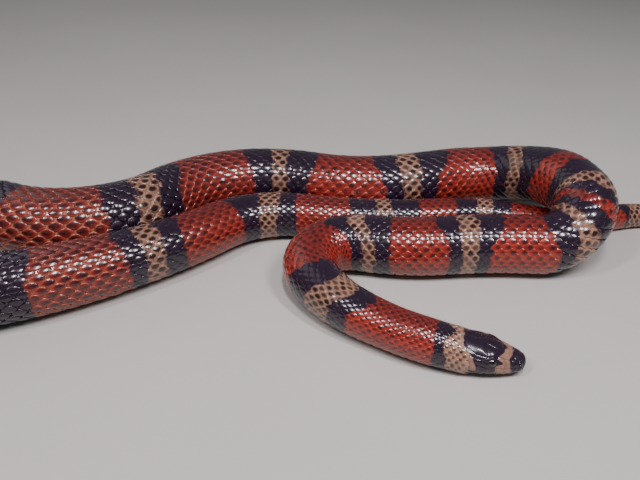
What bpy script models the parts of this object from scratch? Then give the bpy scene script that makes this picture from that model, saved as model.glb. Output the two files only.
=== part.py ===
"""A milk snake at rest in loose coils, life size, modelled as one tapering body swept along a route.

The belly lies on the floor at Z = 0, except where one bend crosses over the tail.  The body is parted
into lengths by thin straight cuts.  Sizes are in millimetres and degrees, and become metres in the mesh.
"""
import math

import bpy
import bmesh
import numpy as np

MM = 0.001

# ---------------------------------------------------------------- route of the body on the floor
SNOUT_XY = (78.1, -73.2)          # tip of the snout, seen from above
SNOUT_HEADING = 170.0             # way from the snout towards the neck, turned from +X
ROUTE_STEP = 1.0                  # distance between the points of the route
BEND_BLEND = 5.0                  # how far one bend eases into the next
# Each stretch of the body, from the snout to the tip of the tail: its length and how far it turns left.
ROUTE = (
    (29, 0), (12, -19), (25, -7), (32, -29), (20, -66), (16, -57), (10, -6), (32, 21), (50, -13.5),
    (31, 105.5), (43, 32.5), (23, 44.5), (16, 21), (32, -5), (44, -32), (30, 24), (60, 56), (11, -21),
    (68, -68), (24, 61), (98, 165), (96, 23), (24, 7), (11, -20), (29, -33), (79, 18), (28, -28),
    (22, 10), (26, 28), (29, -22), (27, -40), (27, -60), (21, -30),
)

# ---------------------------------------------------------------- girth: distance from the snout, radius
GIRTH = (
    (0, 7.6), (30, 8.9), (50, 9.1), (70, 9.9), (90, 11.0), (110, 12.1), (130, 13.0), (160, 13.6),
    (240, 14.0), (275, 15.0), (320, 15.6), (387, 15.6), (467, 16.0), (547, 17.1), (592, 17.2),
    (687, 16.0), (747, 14.6), (787, 13.2), (837, 11.9), (887, 10.3), (937, 8.9), (975, 7.8),
    (1000, 7.1), (1030, 6.5), (1060, 5.4), (1085, 4.1), (1110, 2.5), (1125, 1.1),
)
CROWN_RATIO = 0.97                # height of the back above the widest level, in radii
WIDEST_RATIO = 0.93               # height of the widest level above the floor, in radii
BELLY_RATIO = 1.02                # depth the round belly would reach, before the floor flattens it

# ---------------------------------------------------------------- the bend that lies over the tail
CROSSING_LIFT = 14.0              # height of the belly over the floor where it crosses
LIFT_STARTS, LIFT_FULL = 221.0, 255.0
LIFT_EASES, LIFT_ENDS = 268.0, 328.0

# ---------------------------------------------------------------- head
HEAD_LENGTH = 30.0                # snout to the angle of the jaw
NECK_BLEND = (21.0, 44.0)         # the head's section becomes the body's between these distances
# Distance from the snout: half width, height of the crown, height of the chin.
HEAD_FORM = (
    (0.0, 0.2, 4.8, 4.2), (0.4, 2.2, 6.3, 3.1), (1.0, 3.4, 7.1, 2.2), (2.0, 4.4, 7.8, 1.5),
    (4.4, 5.6, 8.7, 0.8), (8.0, 6.9, 10.2, 0.2), (11.8, 7.9, 11.7, 0.0), (15.4, 8.7, 12.8, 0.0),
    (19.0, 9.1, 13.5, 0.0), (23.5, 9.2, 14.1, 0.0), (28.0, 9.1, 14.8, 0.0), (34.0, 9.0, 15.6, 0.0),
    (44.0, 9.1, 16.9, 0.0),
)
HEAD_WIDEST = 0.42                # level of the cheek, as a share of the head's height
CROWN_SQUARENESS = 0.84           # below 1 the crown is flatter than a circle
CHIN_SQUARENESS = 0.72
SNOUT_ROWS = (0.25, 0.6, 1.1, 1.8, 2.6)   # rings close together on the rounded snout

MOUTH_CORNER = 24.0               # distance from the snout to the corner of the mouth
MOUTH_FADE = 6.0                  # length over which the groove dies away before its corner
MOUTH_LINE = (                    # distance from the snout, height of the line
    (0.0, 3.6), (1.0, 3.1), (4.0, 3.0), (10.0, 3.3), (16.0, 3.7), (20.0, 4.4), (24.0, 5.4), (44.0, 6.0),
)
MOUTH_DEPTH = 0.45
MOUTH_STARTS = (0.3, 1.2)         # the groove deepens between these distances
LIPS_START = (0.6, 2.2)           # and the lips take their form between these
LIP_HALF_GAP = 0.07               # half the opening of the groove, in radians round the section
GROOVE_SHARE = 0.6                # the groove's width as a share of that opening
LIP_SWELL = 0.22                  # how far the upper lip stands out
LIP_SWELL_OVER = 0.22             # where it stands out most, in radians over the mouth line
LIP_SWELL_REACH = 0.16            # and how far round that reaches
JAW_INSET = 0.30                  # how far the lower jaw lies in from the upper lip
JAW_EDGE = 0.06                   # radians in which the jaw steps in under the lip
JAW_FLOOR = 0.50                  # and in which it comes out again towards the middle of the chin

EYE_FROM_SNOUT = 13.0
EYE_HEIGHT = 8.2
EYE_RADIUS = 1.85
EYE_SUNK = 1.30                   # depth of the eye's centre under the side of the head
BROW_SWELL = 0.40                 # the ridge over each eye
BROW_REACH = 3.2                  # its length, to either side of the eye
BROW_OVER_EYE = 2.4               # its height over the middle of the eye
BROW_HEIGHT = 1.2
NOSTRIL_FROM_SNOUT = 2.6
NOSTRIL_HEIGHT = 5.9
NOSTRIL_RADIUS = 0.50
NOSTRIL_OUT = 0.10                # how far its hollow's centre lies outside the skin

# ---------------------------------------------------------------- where the body is parted
# Each length's name and the distance from the snout to its far end.
LENGTHS = (
    ("head", HEAD_LENGTH), ("neck", 72), ("body_01", 101), ("body_02", 140), ("body_03", 180),
    ("body_04", 220), ("body_05", 250), ("body_06", 282), ("body_07", 312), ("body_08", 359),
    ("body_09", 409), ("body_10", 459), ("body_11", 509), ("body_12", 549), ("body_13", 589),
    ("body_14", 619), ("body_15", 651), ("body_16", 687), ("body_17", 737), ("body_18", 795),
    ("body_19", 865), ("body_20", 940), ("tail_01", 1000), ("tail_02", 1060), ("tail_03", 1125),
)
GAP = 0.3                         # width of the cuts, and of the room round each eye
TAIL_POINT = (0.5, 1.0)           # how far the tail's point lies past its last ring, and its height
SIDES = 24                        # faces round a body length
TAIL_SIDES = 16
STATION_STEP = 4.6                # distance between rings on the body
HEAD_STEP = 0.95                  # distance between rings on the head
ABOVE_LIP_ROWS = 12               # faces from the middle of the crown to the lip, on each side
BELOW_LIP_ROWS = 5

COLOURS = {
    "red": (0.62, 0.10, 0.04, 1.0),
    "black": (0.02, 0.02, 0.03, 1.0),
    "cream": (0.60, 0.47, 0.33, 1.0),
}
SCALE_ROUGHNESS = 0.32
EYE_ROUGHNESS = 0.06


# ---------------------------------------------------------------- small helpers
def smoothstep(low, high, value):
    """0 below low, 1 above high, and an even ease between them."""
    share = np.clip((value - low) / (high - low), 0.0, 1.0)
    return share * share * (3.0 - 2.0 * share)


def smooth_table(rows, at, column=1):
    """Read a table of (place, value, ...) rows along a smooth curve that never overshoots."""
    place = np.array([row[0] for row in rows], float)
    value = np.array([row[column] for row in rows], float)
    step = np.diff(place)
    rise = np.diff(value) / step
    slope = np.zeros(len(place))
    same_way = rise[:-1] * rise[1:] > 0
    slope[1:-1][same_way] = 2.0 * rise[:-1][same_way] * rise[1:][same_way] / (rise[:-1] + rise[1:])[same_way]
    slope[0], slope[-1] = rise[0], rise[-1]
    at = np.clip(np.asarray(at, float), place[0], place[-1])
    index = np.clip(np.searchsorted(place, at, side="right") - 1, 0, len(step) - 1)
    share = (at - place[index]) / step[index]
    start_weight = 2 * share**3 - 3 * share**2 + 1
    end_weight = 1 - start_weight
    start_pull = (share**3 - 2 * share**2 + share) * step[index]
    end_pull = (share**3 - share**2) * step[index]
    return (start_weight * value[index] + end_weight * value[index + 1]
            + start_pull * slope[index] + end_pull * slope[index + 1])


# ---------------------------------------------------------------- the route
def build_route():
    """Points of the route with the heading at each: distance, x, y, heading in radians."""
    lengths = np.array([length for length, _ in ROUTE], float)
    turns = np.radians([turn for _, turn in ROUTE])
    distance = np.arange(0.0, lengths.sum() + ROUTE_STEP / 2, ROUTE_STEP)
    edges = np.concatenate([[0.0], np.cumsum(lengths)])
    turned = np.concatenate([[0.0], np.cumsum(turns)])
    half_steps = np.concatenate([distance - ROUTE_STEP / 2, [distance[-1] + ROUTE_STEP / 2]])
    bend = np.diff(np.interp(half_steps, edges, turned)) / ROUTE_STEP
    reach = int(4 * BEND_BLEND / ROUTE_STEP)
    kernel = np.exp(-0.5 * (np.arange(-reach, reach + 1) * ROUTE_STEP / BEND_BLEND) ** 2)
    bend = np.convolve(np.pad(bend, reach, mode="edge"), kernel / kernel.sum(), mode="valid")
    heading = math.radians(SNOUT_HEADING) + np.concatenate(
        [[0.0], np.cumsum((bend[1:] + bend[:-1]) / 2 * ROUTE_STEP)])
    middle = (heading[1:] + heading[:-1]) / 2
    x = SNOUT_XY[0] + np.concatenate([[0.0], np.cumsum(np.cos(middle) * ROUTE_STEP)])
    y = SNOUT_XY[1] + np.concatenate([[0.0], np.cumsum(np.sin(middle) * ROUTE_STEP)])
    return distance, x, y, heading


ROUTE_POINTS = build_route()
BODY_LENGTH = float(ROUTE_POINTS[0][-1])


def place_on_route(distance):
    """Where the route is at one distance from the snout: the point, the way on, and the way across."""
    distances, x, y, heading = ROUTE_POINTS
    angle = float(np.interp(distance, distances, heading))
    point = np.array([np.interp(distance, distances, x), np.interp(distance, distances, y), 0.0])
    onward = np.array([math.cos(angle), math.sin(angle), 0.0])
    across = np.array([-math.sin(angle), math.cos(angle), 0.0])
    return point, onward, across


def belly_lift(distance):
    """Height of the belly above the floor."""
    rise = smoothstep(LIFT_STARTS, LIFT_FULL, distance)
    fall = 1.0 - smoothstep(LIFT_EASES, LIFT_ENDS, distance)
    return CROSSING_LIFT * float(rise * fall)


# ---------------------------------------------------------------- sections
def body_section(distance, angle):
    """Side and height of a body point; angle runs from the back, 0, to the belly, pi."""
    radius = float(smooth_table(GIRTH, distance))
    height = np.cos(angle)
    upper = WIDEST_RATIO + CROWN_RATIO * height
    lower = np.maximum(WIDEST_RATIO + BELLY_RATIO * height, 0.0)
    return radius * np.sin(angle), radius * np.where(height > 0, upper, lower)


def head_levels(distance):
    """Half width, crown, chin and cheek level of the head at one distance from the snout."""
    half_width, crown, chin = (float(smooth_table(HEAD_FORM, distance, column)) for column in (1, 2, 3))
    return half_width, crown, chin, chin + HEAD_WIDEST * (crown - chin)


def lip_angle(distance):
    """The angle round the section at which the mouth line runs."""
    _, crown, chin, cheek = head_levels(distance)
    line = float(smooth_table(MOUTH_LINE, distance))
    below = min(max((cheek - line) / (cheek - chin), 0.02), 0.98)
    return math.pi - math.acos(below ** (1.0 / CHIN_SQUARENESS))


def head_section(distance, angle):
    """Side and height of a head point, before the features are added."""
    half_width, crown, chin, cheek = head_levels(distance)
    height = np.cos(angle)
    over = cheek + (crown - cheek) * np.abs(height) ** CROWN_SQUARENESS
    under = cheek - (cheek - chin) * np.abs(height) ** CHIN_SQUARENESS
    return half_width * np.abs(np.sin(angle)), np.where(height > 0, over, under)


def front_section(distance, angle):
    """The head's section with its lips and brow, easing into the neck's."""
    side, height = head_section(distance, angle)
    lip = lip_angle(distance)
    mouth = float(1.0 - smoothstep(MOUTH_CORNER - MOUTH_FADE, MOUTH_CORNER, distance))
    middle = head_levels(distance)[3]
    reach = np.hypot(side, height - middle) + 1e-6
    groove = -MOUTH_DEPTH * np.exp(-((angle - lip) / (GROOVE_SHARE * LIP_HALF_GAP)) ** 2)
    swell = LIP_SWELL * np.exp(-((angle - lip + LIP_SWELL_OVER) / LIP_SWELL_REACH) ** 2)
    inset = -JAW_INSET * smoothstep(0.0, JAW_EDGE, angle - lip)
    inset = inset * smoothstep(math.pi, math.pi - JAW_FLOOR, angle)
    opened = float(smoothstep(*MOUTH_STARTS, distance))
    formed = float(smoothstep(*LIPS_START, distance))
    move = mouth * (groove * opened + (swell + inset) * formed)
    along = math.exp(-((distance - EYE_FROM_SNOUT) / BROW_REACH) ** 2)
    over = np.exp(-((height - EYE_HEIGHT - BROW_OVER_EYE) / BROW_HEIGHT) ** 2)
    move = move + BROW_SWELL * along * over
    grown = 1.0 + move / reach
    side, height = side * grown, middle + (height - middle) * grown
    neck_side, neck_height = body_section(distance, angle)
    share = float(smoothstep(*NECK_BLEND, distance))
    side = side + (neck_side - side) * share
    return side, np.maximum(height + (neck_height - height) * share, 0.0)


# ---------------------------------------------------------------- rings and solids
def body_angles(sides):
    """Angles round a body section, from the back down the right side and up the left."""
    return np.arange(sides) * 2.0 * math.pi / sides


def head_angles(distance):
    """Angles round the head, with rows that run along both lips and the groove between them."""
    lip = min(lip_angle(distance), math.pi - 2.5 * LIP_HALF_GAP)
    above = np.linspace(0.0, lip - LIP_HALF_GAP, ABOVE_LIP_ROWS + 1)
    below = np.linspace(lip + LIP_HALF_GAP, math.pi, BELOW_LIP_ROWS + 1)
    right = np.concatenate([above, [lip], below])
    return np.concatenate([right, 2.0 * math.pi - right[-2:0:-1]])


def ring(distance, angles, section, shift=0.0):
    """The points of one section, in millimetres, moved along the route by shift."""
    point, onward, across = place_on_route(distance)
    folded = np.where(angles > math.pi, 2.0 * math.pi - angles, angles)
    side, height = section(distance, folded)
    side = np.abs(side) * np.where(angles > math.pi, -1.0, 1.0)
    height = height + belly_lift(distance)
    points = point + onward * shift + across * side[:, None]
    points[:, 2] = height
    return points


def stations(start, end, step):
    """Distances of the rings between two cuts, evenly spread."""
    count = max(2, int(round((end - start) / step)) + 1)
    return np.linspace(start, end, count)


def solid_from_rings(rings, tip_first=None, tip_last=None):
    """A closed skin over a row of rings, ended by flat faces or by single tip points."""
    mesh = bmesh.new()
    loops = [[mesh.verts.new(point * MM) for point in points] for points in rings]
    count = len(loops[0])
    for near, far in zip(loops[:-1], loops[1:]):
        for index in range(count):
            following = (index + 1) % count
            mesh.faces.new((near[index], near[following], far[following], far[index]))
    close_end(mesh, loops[0], tip_first, reverse=True)
    close_end(mesh, loops[-1], tip_last, reverse=False)
    bmesh.ops.triangulate(mesh, faces=mesh.faces[:], quad_method="SHORT_EDGE", ngon_method="BEAUTY")
    bmesh.ops.recalc_face_normals(mesh, faces=mesh.faces[:])
    return mesh


def close_end(mesh, loop, tip, reverse):
    """Close one end of the skin with a flat face, or with a fan to the tip."""
    if tip is None:
        mesh.faces.new(loop[::-1] if reverse else loop)
        return
    apex = mesh.verts.new(np.asarray(tip) * MM)
    for index in range(len(loop)):
        pair = (loop[index], loop[(index + 1) % len(loop)])
        mesh.faces.new((*pair, apex) if not reverse else (pair[1], pair[0], apex))


def add_object(name, mesh, colour, roughness):
    """Put a finished mesh in the scene with its own material."""
    data = bpy.data.meshes.new(name)
    mesh.to_mesh(data)
    mesh.free()
    body = bpy.data.objects.new(name, data)
    bpy.context.collection.objects.link(body)
    material = bpy.data.materials.new(name + "_finish")
    material.use_nodes = True
    shader = material.node_tree.nodes["Principled BSDF"]
    shader.inputs["Base Color"].default_value = colour
    shader.inputs["Roughness"].default_value = roughness
    shader.inputs["Metallic"].default_value = 0.0
    material.diffuse_color = colour
    data.materials.append(material)
    data.shade_smooth()
    return body


# ---------------------------------------------------------------- sub-parts
def side_point(distance, height, side):
    """A point on the side of the head at one height, and the way out of the head there."""
    angles = np.linspace(0.25, lip_angle(distance), 400)
    sides, heights = front_section(distance, angles)
    index = int(np.argmin(np.abs(heights - height)))
    point, onward, across = place_on_route(distance)
    ahead_side, _ = front_section(distance + 1.0, angles[index:index + 1])
    slope = float(ahead_side[0] - sides[index])
    rise = (heights[index + 1] - heights[index - 1], sides[index + 1] - sides[index - 1])
    outward = across * side - onward * slope + np.array([0.0, 0.0, -rise[1] / rise[0]])
    surface = point + across * side * sides[index]
    surface[2] = heights[index]
    return surface, outward / np.linalg.norm(outward)


def eye_centre(side):
    """Centre of the eyeball, set into the side of the head."""
    surface, outward = side_point(EYE_FROM_SNOUT, EYE_HEIGHT, side)
    return surface - outward * EYE_SUNK


def ball(name, centre, radius, rings, segments):
    """A round cutter, or an eye."""
    mesh = bmesh.new()
    bmesh.ops.create_uvsphere(mesh, u_segments=segments, v_segments=rings, radius=radius * MM)
    bmesh.ops.translate(mesh, verts=mesh.verts[:], vec=centre * MM)
    return name, mesh


def make_cutter(name, centre, radius):
    """A ball that is cut out of the head and left out of the model."""
    _, mesh = ball(name, centre, radius, 10, 16)
    cutter = add_object(name, mesh, COLOURS["black"], SCALE_ROUGHNESS)
    cutter.hide_render = True
    cutter.display_type = "WIRE"
    return cutter


def cut_with(body, cutters):
    """Take the cutters out of a body, and leave the result as plain mesh."""
    for cutter in cutters:
        modifier = body.modifiers.new("cut", "BOOLEAN")
        modifier.operation = "DIFFERENCE"
        modifier.solver = "EXACT"
        modifier.object = cutter
    cut = bpy.data.meshes.new_from_object(body.evaluated_get(bpy.context.evaluated_depsgraph_get()))
    body.modifiers.clear()
    spare = body.data
    body.data = cut
    bpy.data.meshes.remove(spare)
    for cutter in cutters:
        bpy.data.objects.remove(cutter)


def build_head():
    """The head, with its mouth line, lips, brows, nostrils and the hollows that hold the eyes."""
    far_end = LENGTHS[0][1]
    distances = np.concatenate([SNOUT_ROWS, stations(SNOUT_ROWS[-1] + HEAD_STEP, far_end, HEAD_STEP)])
    rings = [ring(distance, head_angles(distance), front_section) for distance in distances[:-1]]
    rings.append(ring(far_end, head_angles(far_end), front_section, -GAP / 2))
    point, _, _ = place_on_route(0.0)
    tip = point + np.array([0.0, 0.0, (HEAD_FORM[0][2] + HEAD_FORM[0][3]) / 2])
    head = add_object("head", solid_from_rings(rings, tip_first=tip), COLOURS["black"], SCALE_ROUGHNESS)
    cutters = []
    for side in (1, -1):
        cutters.append(make_cutter("eye_hollow", eye_centre(side), EYE_RADIUS + GAP))
        surface, outward = side_point(NOSTRIL_FROM_SNOUT, NOSTRIL_HEIGHT, side)
        cutters.append(make_cutter("nostril_hollow", surface + outward * NOSTRIL_OUT, NOSTRIL_RADIUS))
    cut_with(head, cutters)
    return head


def build_eyes():
    """Both eyeballs."""
    for name, side in (("eye_right", 1), ("eye_left", -1)):
        _, mesh = ball(name, eye_centre(side), EYE_RADIUS, 12, 20)
        bmesh.ops.triangulate(mesh, faces=mesh.faces[:])
        add_object(name, mesh, COLOURS["black"], EYE_ROUGHNESS)


def build_length(name, start, end, is_tip):
    """One length of neck, body or tail between two cuts."""
    sides = TAIL_SIDES if name.startswith("tail") else SIDES
    angles = body_angles(sides)
    distances = stations(start, end, STATION_STEP)
    rings = [ring(start, angles, front_section, GAP / 2)]
    rings += [ring(distance, angles, front_section) for distance in distances[1:-1]]
    tip = None
    if is_tip:
        point, onward, _ = place_on_route(end)
        tip = point + onward * TAIL_POINT[0] + np.array([0.0, 0.0, TAIL_POINT[1]])
    else:
        rings.append(ring(end, angles, front_section, -GAP / 2))
    colour = "cream" if name == "neck" else "red"
    return add_object(name, solid_from_rings(rings, tip_last=tip), COLOURS[colour], SCALE_ROUGHNESS)


def main():
    for item in list(bpy.data.objects):
        bpy.data.objects.remove(item)
    build_head()
    build_eyes()
    start = LENGTHS[0][1]
    for name, end in LENGTHS[1:]:
        build_length(name, start, end, end == LENGTHS[-1][1])
        start = end


main()
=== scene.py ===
"""The finish of a life-size milk snake that lies in loose coils.

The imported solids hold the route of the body, its girth and the form of the head.  This script repeats
those sizes and lays over them one skin with its head plates, the scales of the back, the broad scutes
of the belly, and the eyes.  In the tables lengths are in millimetres and angles in degrees.
"""
import math

import bmesh
import bpy
import numpy as np
from mathutils import Matrix, Vector, kdtree


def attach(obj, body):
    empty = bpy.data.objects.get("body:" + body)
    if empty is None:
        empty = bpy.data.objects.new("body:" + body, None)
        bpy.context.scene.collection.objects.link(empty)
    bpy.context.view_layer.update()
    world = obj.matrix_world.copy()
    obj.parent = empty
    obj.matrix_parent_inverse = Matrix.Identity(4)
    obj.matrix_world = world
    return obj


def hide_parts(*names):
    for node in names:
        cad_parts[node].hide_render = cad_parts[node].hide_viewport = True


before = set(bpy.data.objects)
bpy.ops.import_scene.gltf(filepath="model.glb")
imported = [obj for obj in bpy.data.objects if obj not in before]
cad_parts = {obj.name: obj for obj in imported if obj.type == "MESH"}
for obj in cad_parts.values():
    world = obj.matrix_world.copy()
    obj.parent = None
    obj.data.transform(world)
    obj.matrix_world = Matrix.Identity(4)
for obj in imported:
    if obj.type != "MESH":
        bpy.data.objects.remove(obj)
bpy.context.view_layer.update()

bl_info = {
    "name": "Milk Snake Model",
    "version": (1, 0, 0),
    "blender": (4, 5, 0),
    "location": "View3D > Sidebar > Milk Snake",
    "description": "Skin, scales, belly scutes and eyes of a milk snake at rest, with a studio stage",
    "category": "Add Mesh",
}

MM = 0.001
TINY = 1e-9                       # keeps a division away from 0
BODY = "root"
EYE_NODES = {"eye_right": 1, "eye_left": -1}

# ---------------------------------------------------------------- route and girth, as in the solids
SNOUT_XY = (78.1, -73.2)
SNOUT_HEADING = 170.0
ROUTE_STEP = 1.0
BEND_BLEND = 5.0
# Each stretch of the body, from the snout to the tip of the tail: its length and how far it turns left.
ROUTE = (
    (29, 0), (12, -19), (25, -7), (32, -29), (20, -66), (16, -57), (10, -6), (32, 21), (50, -13.5),
    (31, 105.5), (43, 32.5), (23, 44.5), (16, 21), (32, -5), (44, -32), (30, 24), (60, 56), (11, -21),
    (68, -68), (24, 61), (98, 165), (96, 23), (24, 7), (11, -20), (29, -33), (79, 18), (28, -28),
    (22, 10), (26, 28), (29, -22), (27, -40), (27, -60), (21, -30),
)
GIRTH = (                         # distance from the snout, radius
    (0, 7.6), (30, 8.9), (50, 9.1), (70, 9.9), (90, 11.0), (110, 12.1), (130, 13.0), (160, 13.6),
    (240, 14.0), (275, 15.0), (320, 15.6), (387, 15.6), (467, 16.0), (547, 17.1), (592, 17.2),
    (687, 16.0), (747, 14.6), (787, 13.2), (837, 11.9), (887, 10.3), (937, 8.9), (975, 7.8),
    (1000, 7.1), (1030, 6.5), (1060, 5.4), (1085, 4.1), (1110, 2.5), (1125, 1.1),
)
CROWN_RATIO = 0.97
WIDEST_RATIO = 0.93
BELLY_RATIO = 1.02
CROSSING_LIFT = 14.0
LIFT_STARTS, LIFT_FULL = 221.0, 255.0
LIFT_EASES, LIFT_ENDS = 268.0, 328.0
VENT = 940.0
TAIL_POINT = (0.5, 1.0)           # how far past the route the tail ends, and how high above the floor
TAIL_CONE = 2.6                   # length of the bare point of the tail
TAIL_BLUNTNESS = 0.6              # 1 would make that point a straight cone
FLOOR_EASE = 0.15                 # height under which the floor presses the animal flat

# ---------------------------------------------------------------- head, as in the solids
NECK_BLEND = (21.0, 44.0)
HEAD_FORM = (                     # distance from the snout, half width, crown, chin
    (0.0, 0.2, 4.8, 4.2), (0.4, 2.2, 6.3, 3.1), (1.0, 3.4, 7.1, 2.2), (2.0, 4.4, 7.8, 1.5),
    (4.4, 5.6, 8.7, 0.8), (8.0, 6.9, 10.2, 0.2), (11.8, 7.9, 11.7, 0.0), (15.4, 8.7, 12.8, 0.0),
    (19.0, 9.1, 13.5, 0.0), (23.5, 9.2, 14.1, 0.0), (28.0, 9.1, 14.8, 0.0), (34.0, 9.0, 15.6, 0.0),
    (44.0, 9.1, 16.9, 0.0),
)
HEAD_WIDEST = 0.42
CROWN_SQUARENESS = 0.84
CHIN_SQUARENESS = 0.72
MOUTH_CORNER = 24.0
MOUTH_FADE = 6.0
MOUTH_LINE = (
    (0.0, 3.6), (1.0, 3.1), (4.0, 3.0), (10.0, 3.3), (16.0, 3.7), (20.0, 4.4), (24.0, 5.4), (44.0, 6.0),
)
LIP_KEPT_WITHIN = (0.02, 0.98)    # of the height from cheek to chin
MOUTH_DEPTH = 0.45
MOUTH_STARTS = (0.3, 1.2)
LIPS_START = (0.6, 2.2)
LIP_HALF_GAP = 0.07
GROOVE_SHARE = 0.6
LIP_SWELL = 0.22
LIP_SWELL_OVER = 0.22
LIP_SWELL_REACH = 0.16
JAW_INSET = 0.30
JAW_EDGE = 0.06
JAW_FLOOR = 0.50
EYE_FROM_SNOUT = 13.0
EYE_HEIGHT = 8.2
EYE_SUNK = 1.30
BROW_SWELL = 0.40
BROW_REACH = 3.2
BROW_OVER_EYE = 2.4
BROW_HEIGHT = 1.2
NOSTRIL_FROM_SNOUT = 2.6
NOSTRIL_HEIGHT = 5.9

# ---------------------------------------------------------------- markings
RED, BLACK, CREAM = 0, 1, 2
NAPE_BLACK_ENDS = 34.0
# Down the body: where the first black, the cream, the second black and the red of each ring start,
# on the back and on the flank.
RINGS = (
    ((59.5, 69.5, 80.0, 93.0), (67.0, 75.2, 86.0, 96.5)),
    ((122.0, 132.0, 139.5, 152.5), (135.0, 141.3, 147.0, 153.5)),
    ((172.0, 182.0, 191.0, 204.0), (176.3, 182.3, 189.0, 196.0)),
    ((221.0, 230.5, 234.5, 239.5), (225.8, 231.5, 237.0, 242.3)),
    ((243.0, 248.5, 256.0, 267.5), (246.5, 248.5, 255.0, 264.0)),
    ((279.0, 300.0, 309.0, 318.0), (280.0, 289.5, 298.0, 309.5)),
    ((341.3, 359.7, 370.7, 382.7), (352.3, 361.0, 370.0, 378.5)),
    ((411.0, 428.5, 437.0, 453.0), (413.0, 425.0, 435.3, 447.5)),
    ((489.0, 504.7, 517.5, 533.0), (501.5, 512.6, 520.4, 532.0)),
    ((572.0, 588.0, 603.0, 619.0), (575.0, 589.0, 602.0, 616.0)),
    ((682.0, 698.0, 717.0, 738.0), (685.0, 699.0, 715.0, 734.5)),
    ((770.0, 780.0, 790.0, 801.0), (773.0, 781.0, 789.0, 799.0)),
    ((829.0, 846.0, 856.5, 864.7), (831.7, 843.5, 854.0, 866.0)),
    ((891.0, 904.3, 911.3, 925.5), (891.3, 903.5, 912.0, 925.0)),
    ((945.7, 957.0, 964.7, 974.5), (943.7, 955.0, 963.5, 974.3)),
    ((992.0, 997.0, 1003.0, 1009.0), (992.0, 997.0, 1003.0, 1009.0)),
    ((1029.5, 1036.5, 1044.0, 1050.0), (1033.0, 1034.5, 1044.0, 1049.0)),
    ((1064.0, 1068.0, 1073.0, 1079.0), (1064.0, 1068.0, 1073.0, 1079.0)),
    ((1092.0, 1095.5, 1099.0, 1104.0), (1092.0, 1095.5, 1099.0, 1104.0)),
)
TAIL_TIP_BLACK = 1112.0
FLANK_READ_AT = 75.0              # angle from the back at which the flank's places hold
# Head markings: share of the way from crown (0) to lip (1) and chin (2), distance from the snout.
SNOUT_BLACK = (
    (0.0, 5.3), (0.16, 5.7), (0.37, 6.2), (0.6, 6.8), (0.74, 6.5), (1.0, 5.4), (1.4, 4.0), (2.0, 3.0),
)
SNOUT_CREAM = (
    (0.0, 7.6), (0.1, 8.4), (0.28, 9.1), (0.47, 10.5), (0.55, 10.8), (0.62, 9.4), (0.67, 9.6),
    (0.76, 12.0), (1.1, 12.2), (1.3, 14.0), (2.0, 19.0),
)
BLACK_CAP = (
    (0.0, 24.0), (0.25, 24.4), (0.38, 23.4), (0.53, 21.6), (0.68, 20.4), (0.83, 19.4), (1.0, 19.2),
    (2.0, 18.5),
)
CREAM_COLLAR = (
    (0.0, 27.2), (0.2, 28.8), (0.33, 30.0), (0.55, 30.8), (0.72, 30.8), (0.87, 29.6), (2.0, 29.2),
)
BORDER_WAVES = ((0.28, 9.0, 1.0, 0.0), (0.2, 19.0, 2.0, 1.0))  # height, count, start, left-right shift
LOWER_LIP_BLACK = ((10.5, 15.0), (18.4, 21.0))  # dark spans of the lower lip
LOWER_LIP_SHARES = (1.0, 1.45)
SHARE_LENGTH = 9.0                # about how long the way from lip to chin is
BORDER_SOFTNESS = 0.17            # half the width over which the colours of the head plates meet
PLATE_SHADE = 0.78                # brightness of the pale head plates beside the pale scales
BARE_SKIN = (22.0, 28.0)          # the head plates give way to bare skin between these distances
RED_DEEPENS = (8.0, 58.0)         # angles over which the deep red of the back eases off
BELLY_PALES = (98.0, 132.0)       # angles over which the scales pale towards the belly
SKIN_PALES = (118.0, 150.0)       # angles over which the skin does
THROAT_PALES = (30.0, 50.0)       # distances over which the throat comes to have the belly's colour

# ---------------------------------------------------------------- coat
COAT_SHARE = 0.027                # thickness of the scales, as a share of the body's radius
COAT_STARTS = (19.0, 31.0)        # the skin sinks under the coat between these distances
# Distance from the snout, length of one row of scales along the body.
PITCH = (
    (16, 2.2), (24, 2.4), (34, 2.8), (50, 3.6), (64, 3.9), (84, 4.6), (110, 4.6), (160, 4.3),
    (190, 4.6), (208, 5.1), (222, 4.8), (236, 4.2), (258, 4.3), (275, 4.8), (300, 5.4), (332, 6.1),
    (387, 5.4), (417, 5.9), (467, 7.3), (497, 6.6), (527, 5.7), (557, 6.4), (687, 6.5), (747, 6.0),
    (822, 5.2), (857, 4.7), (892, 4.5), (932, 4.1), (977, 3.8), (1000, 3.5), (1030, 3.1), (1060, 2.6),
    (1090, 1.9), (1125, 1.2),
)
# Distance from the snout, number of scale rows round the back.
ROWS = (
    (16, 24), (45, 27), (70, 27), (95, 24), (547, 24), (607, 25), (687, 25), (747, 24), (827, 23),
    (887, 22), (917, 20), (990, 15), (1050, 11), (1125, 7),
)
FLANK_ANGLE = 128.0               # where the back's rows meet the scutes of the belly
ROW_SLIP = 0.15                   # how far under the scutes the last row may slip, in rows
THROAT_ENDS = 37.0                # small scales go right round the throat up to here
THROAT_GAP = 0.45                 # how near the middle of the throat a scale may lie, in rows
ROW_SAMPLES = 4000                # places at which the rows are counted along the body
# Angle from the back, distance from the snout of the first scale behind the head plates.
NAPE_EDGE = ((0, 25.0), (32, 24.2), (55, 21.6), (85, 22.0), (105, 24.8), (125, 22.0), (180, 17.5))
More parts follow.
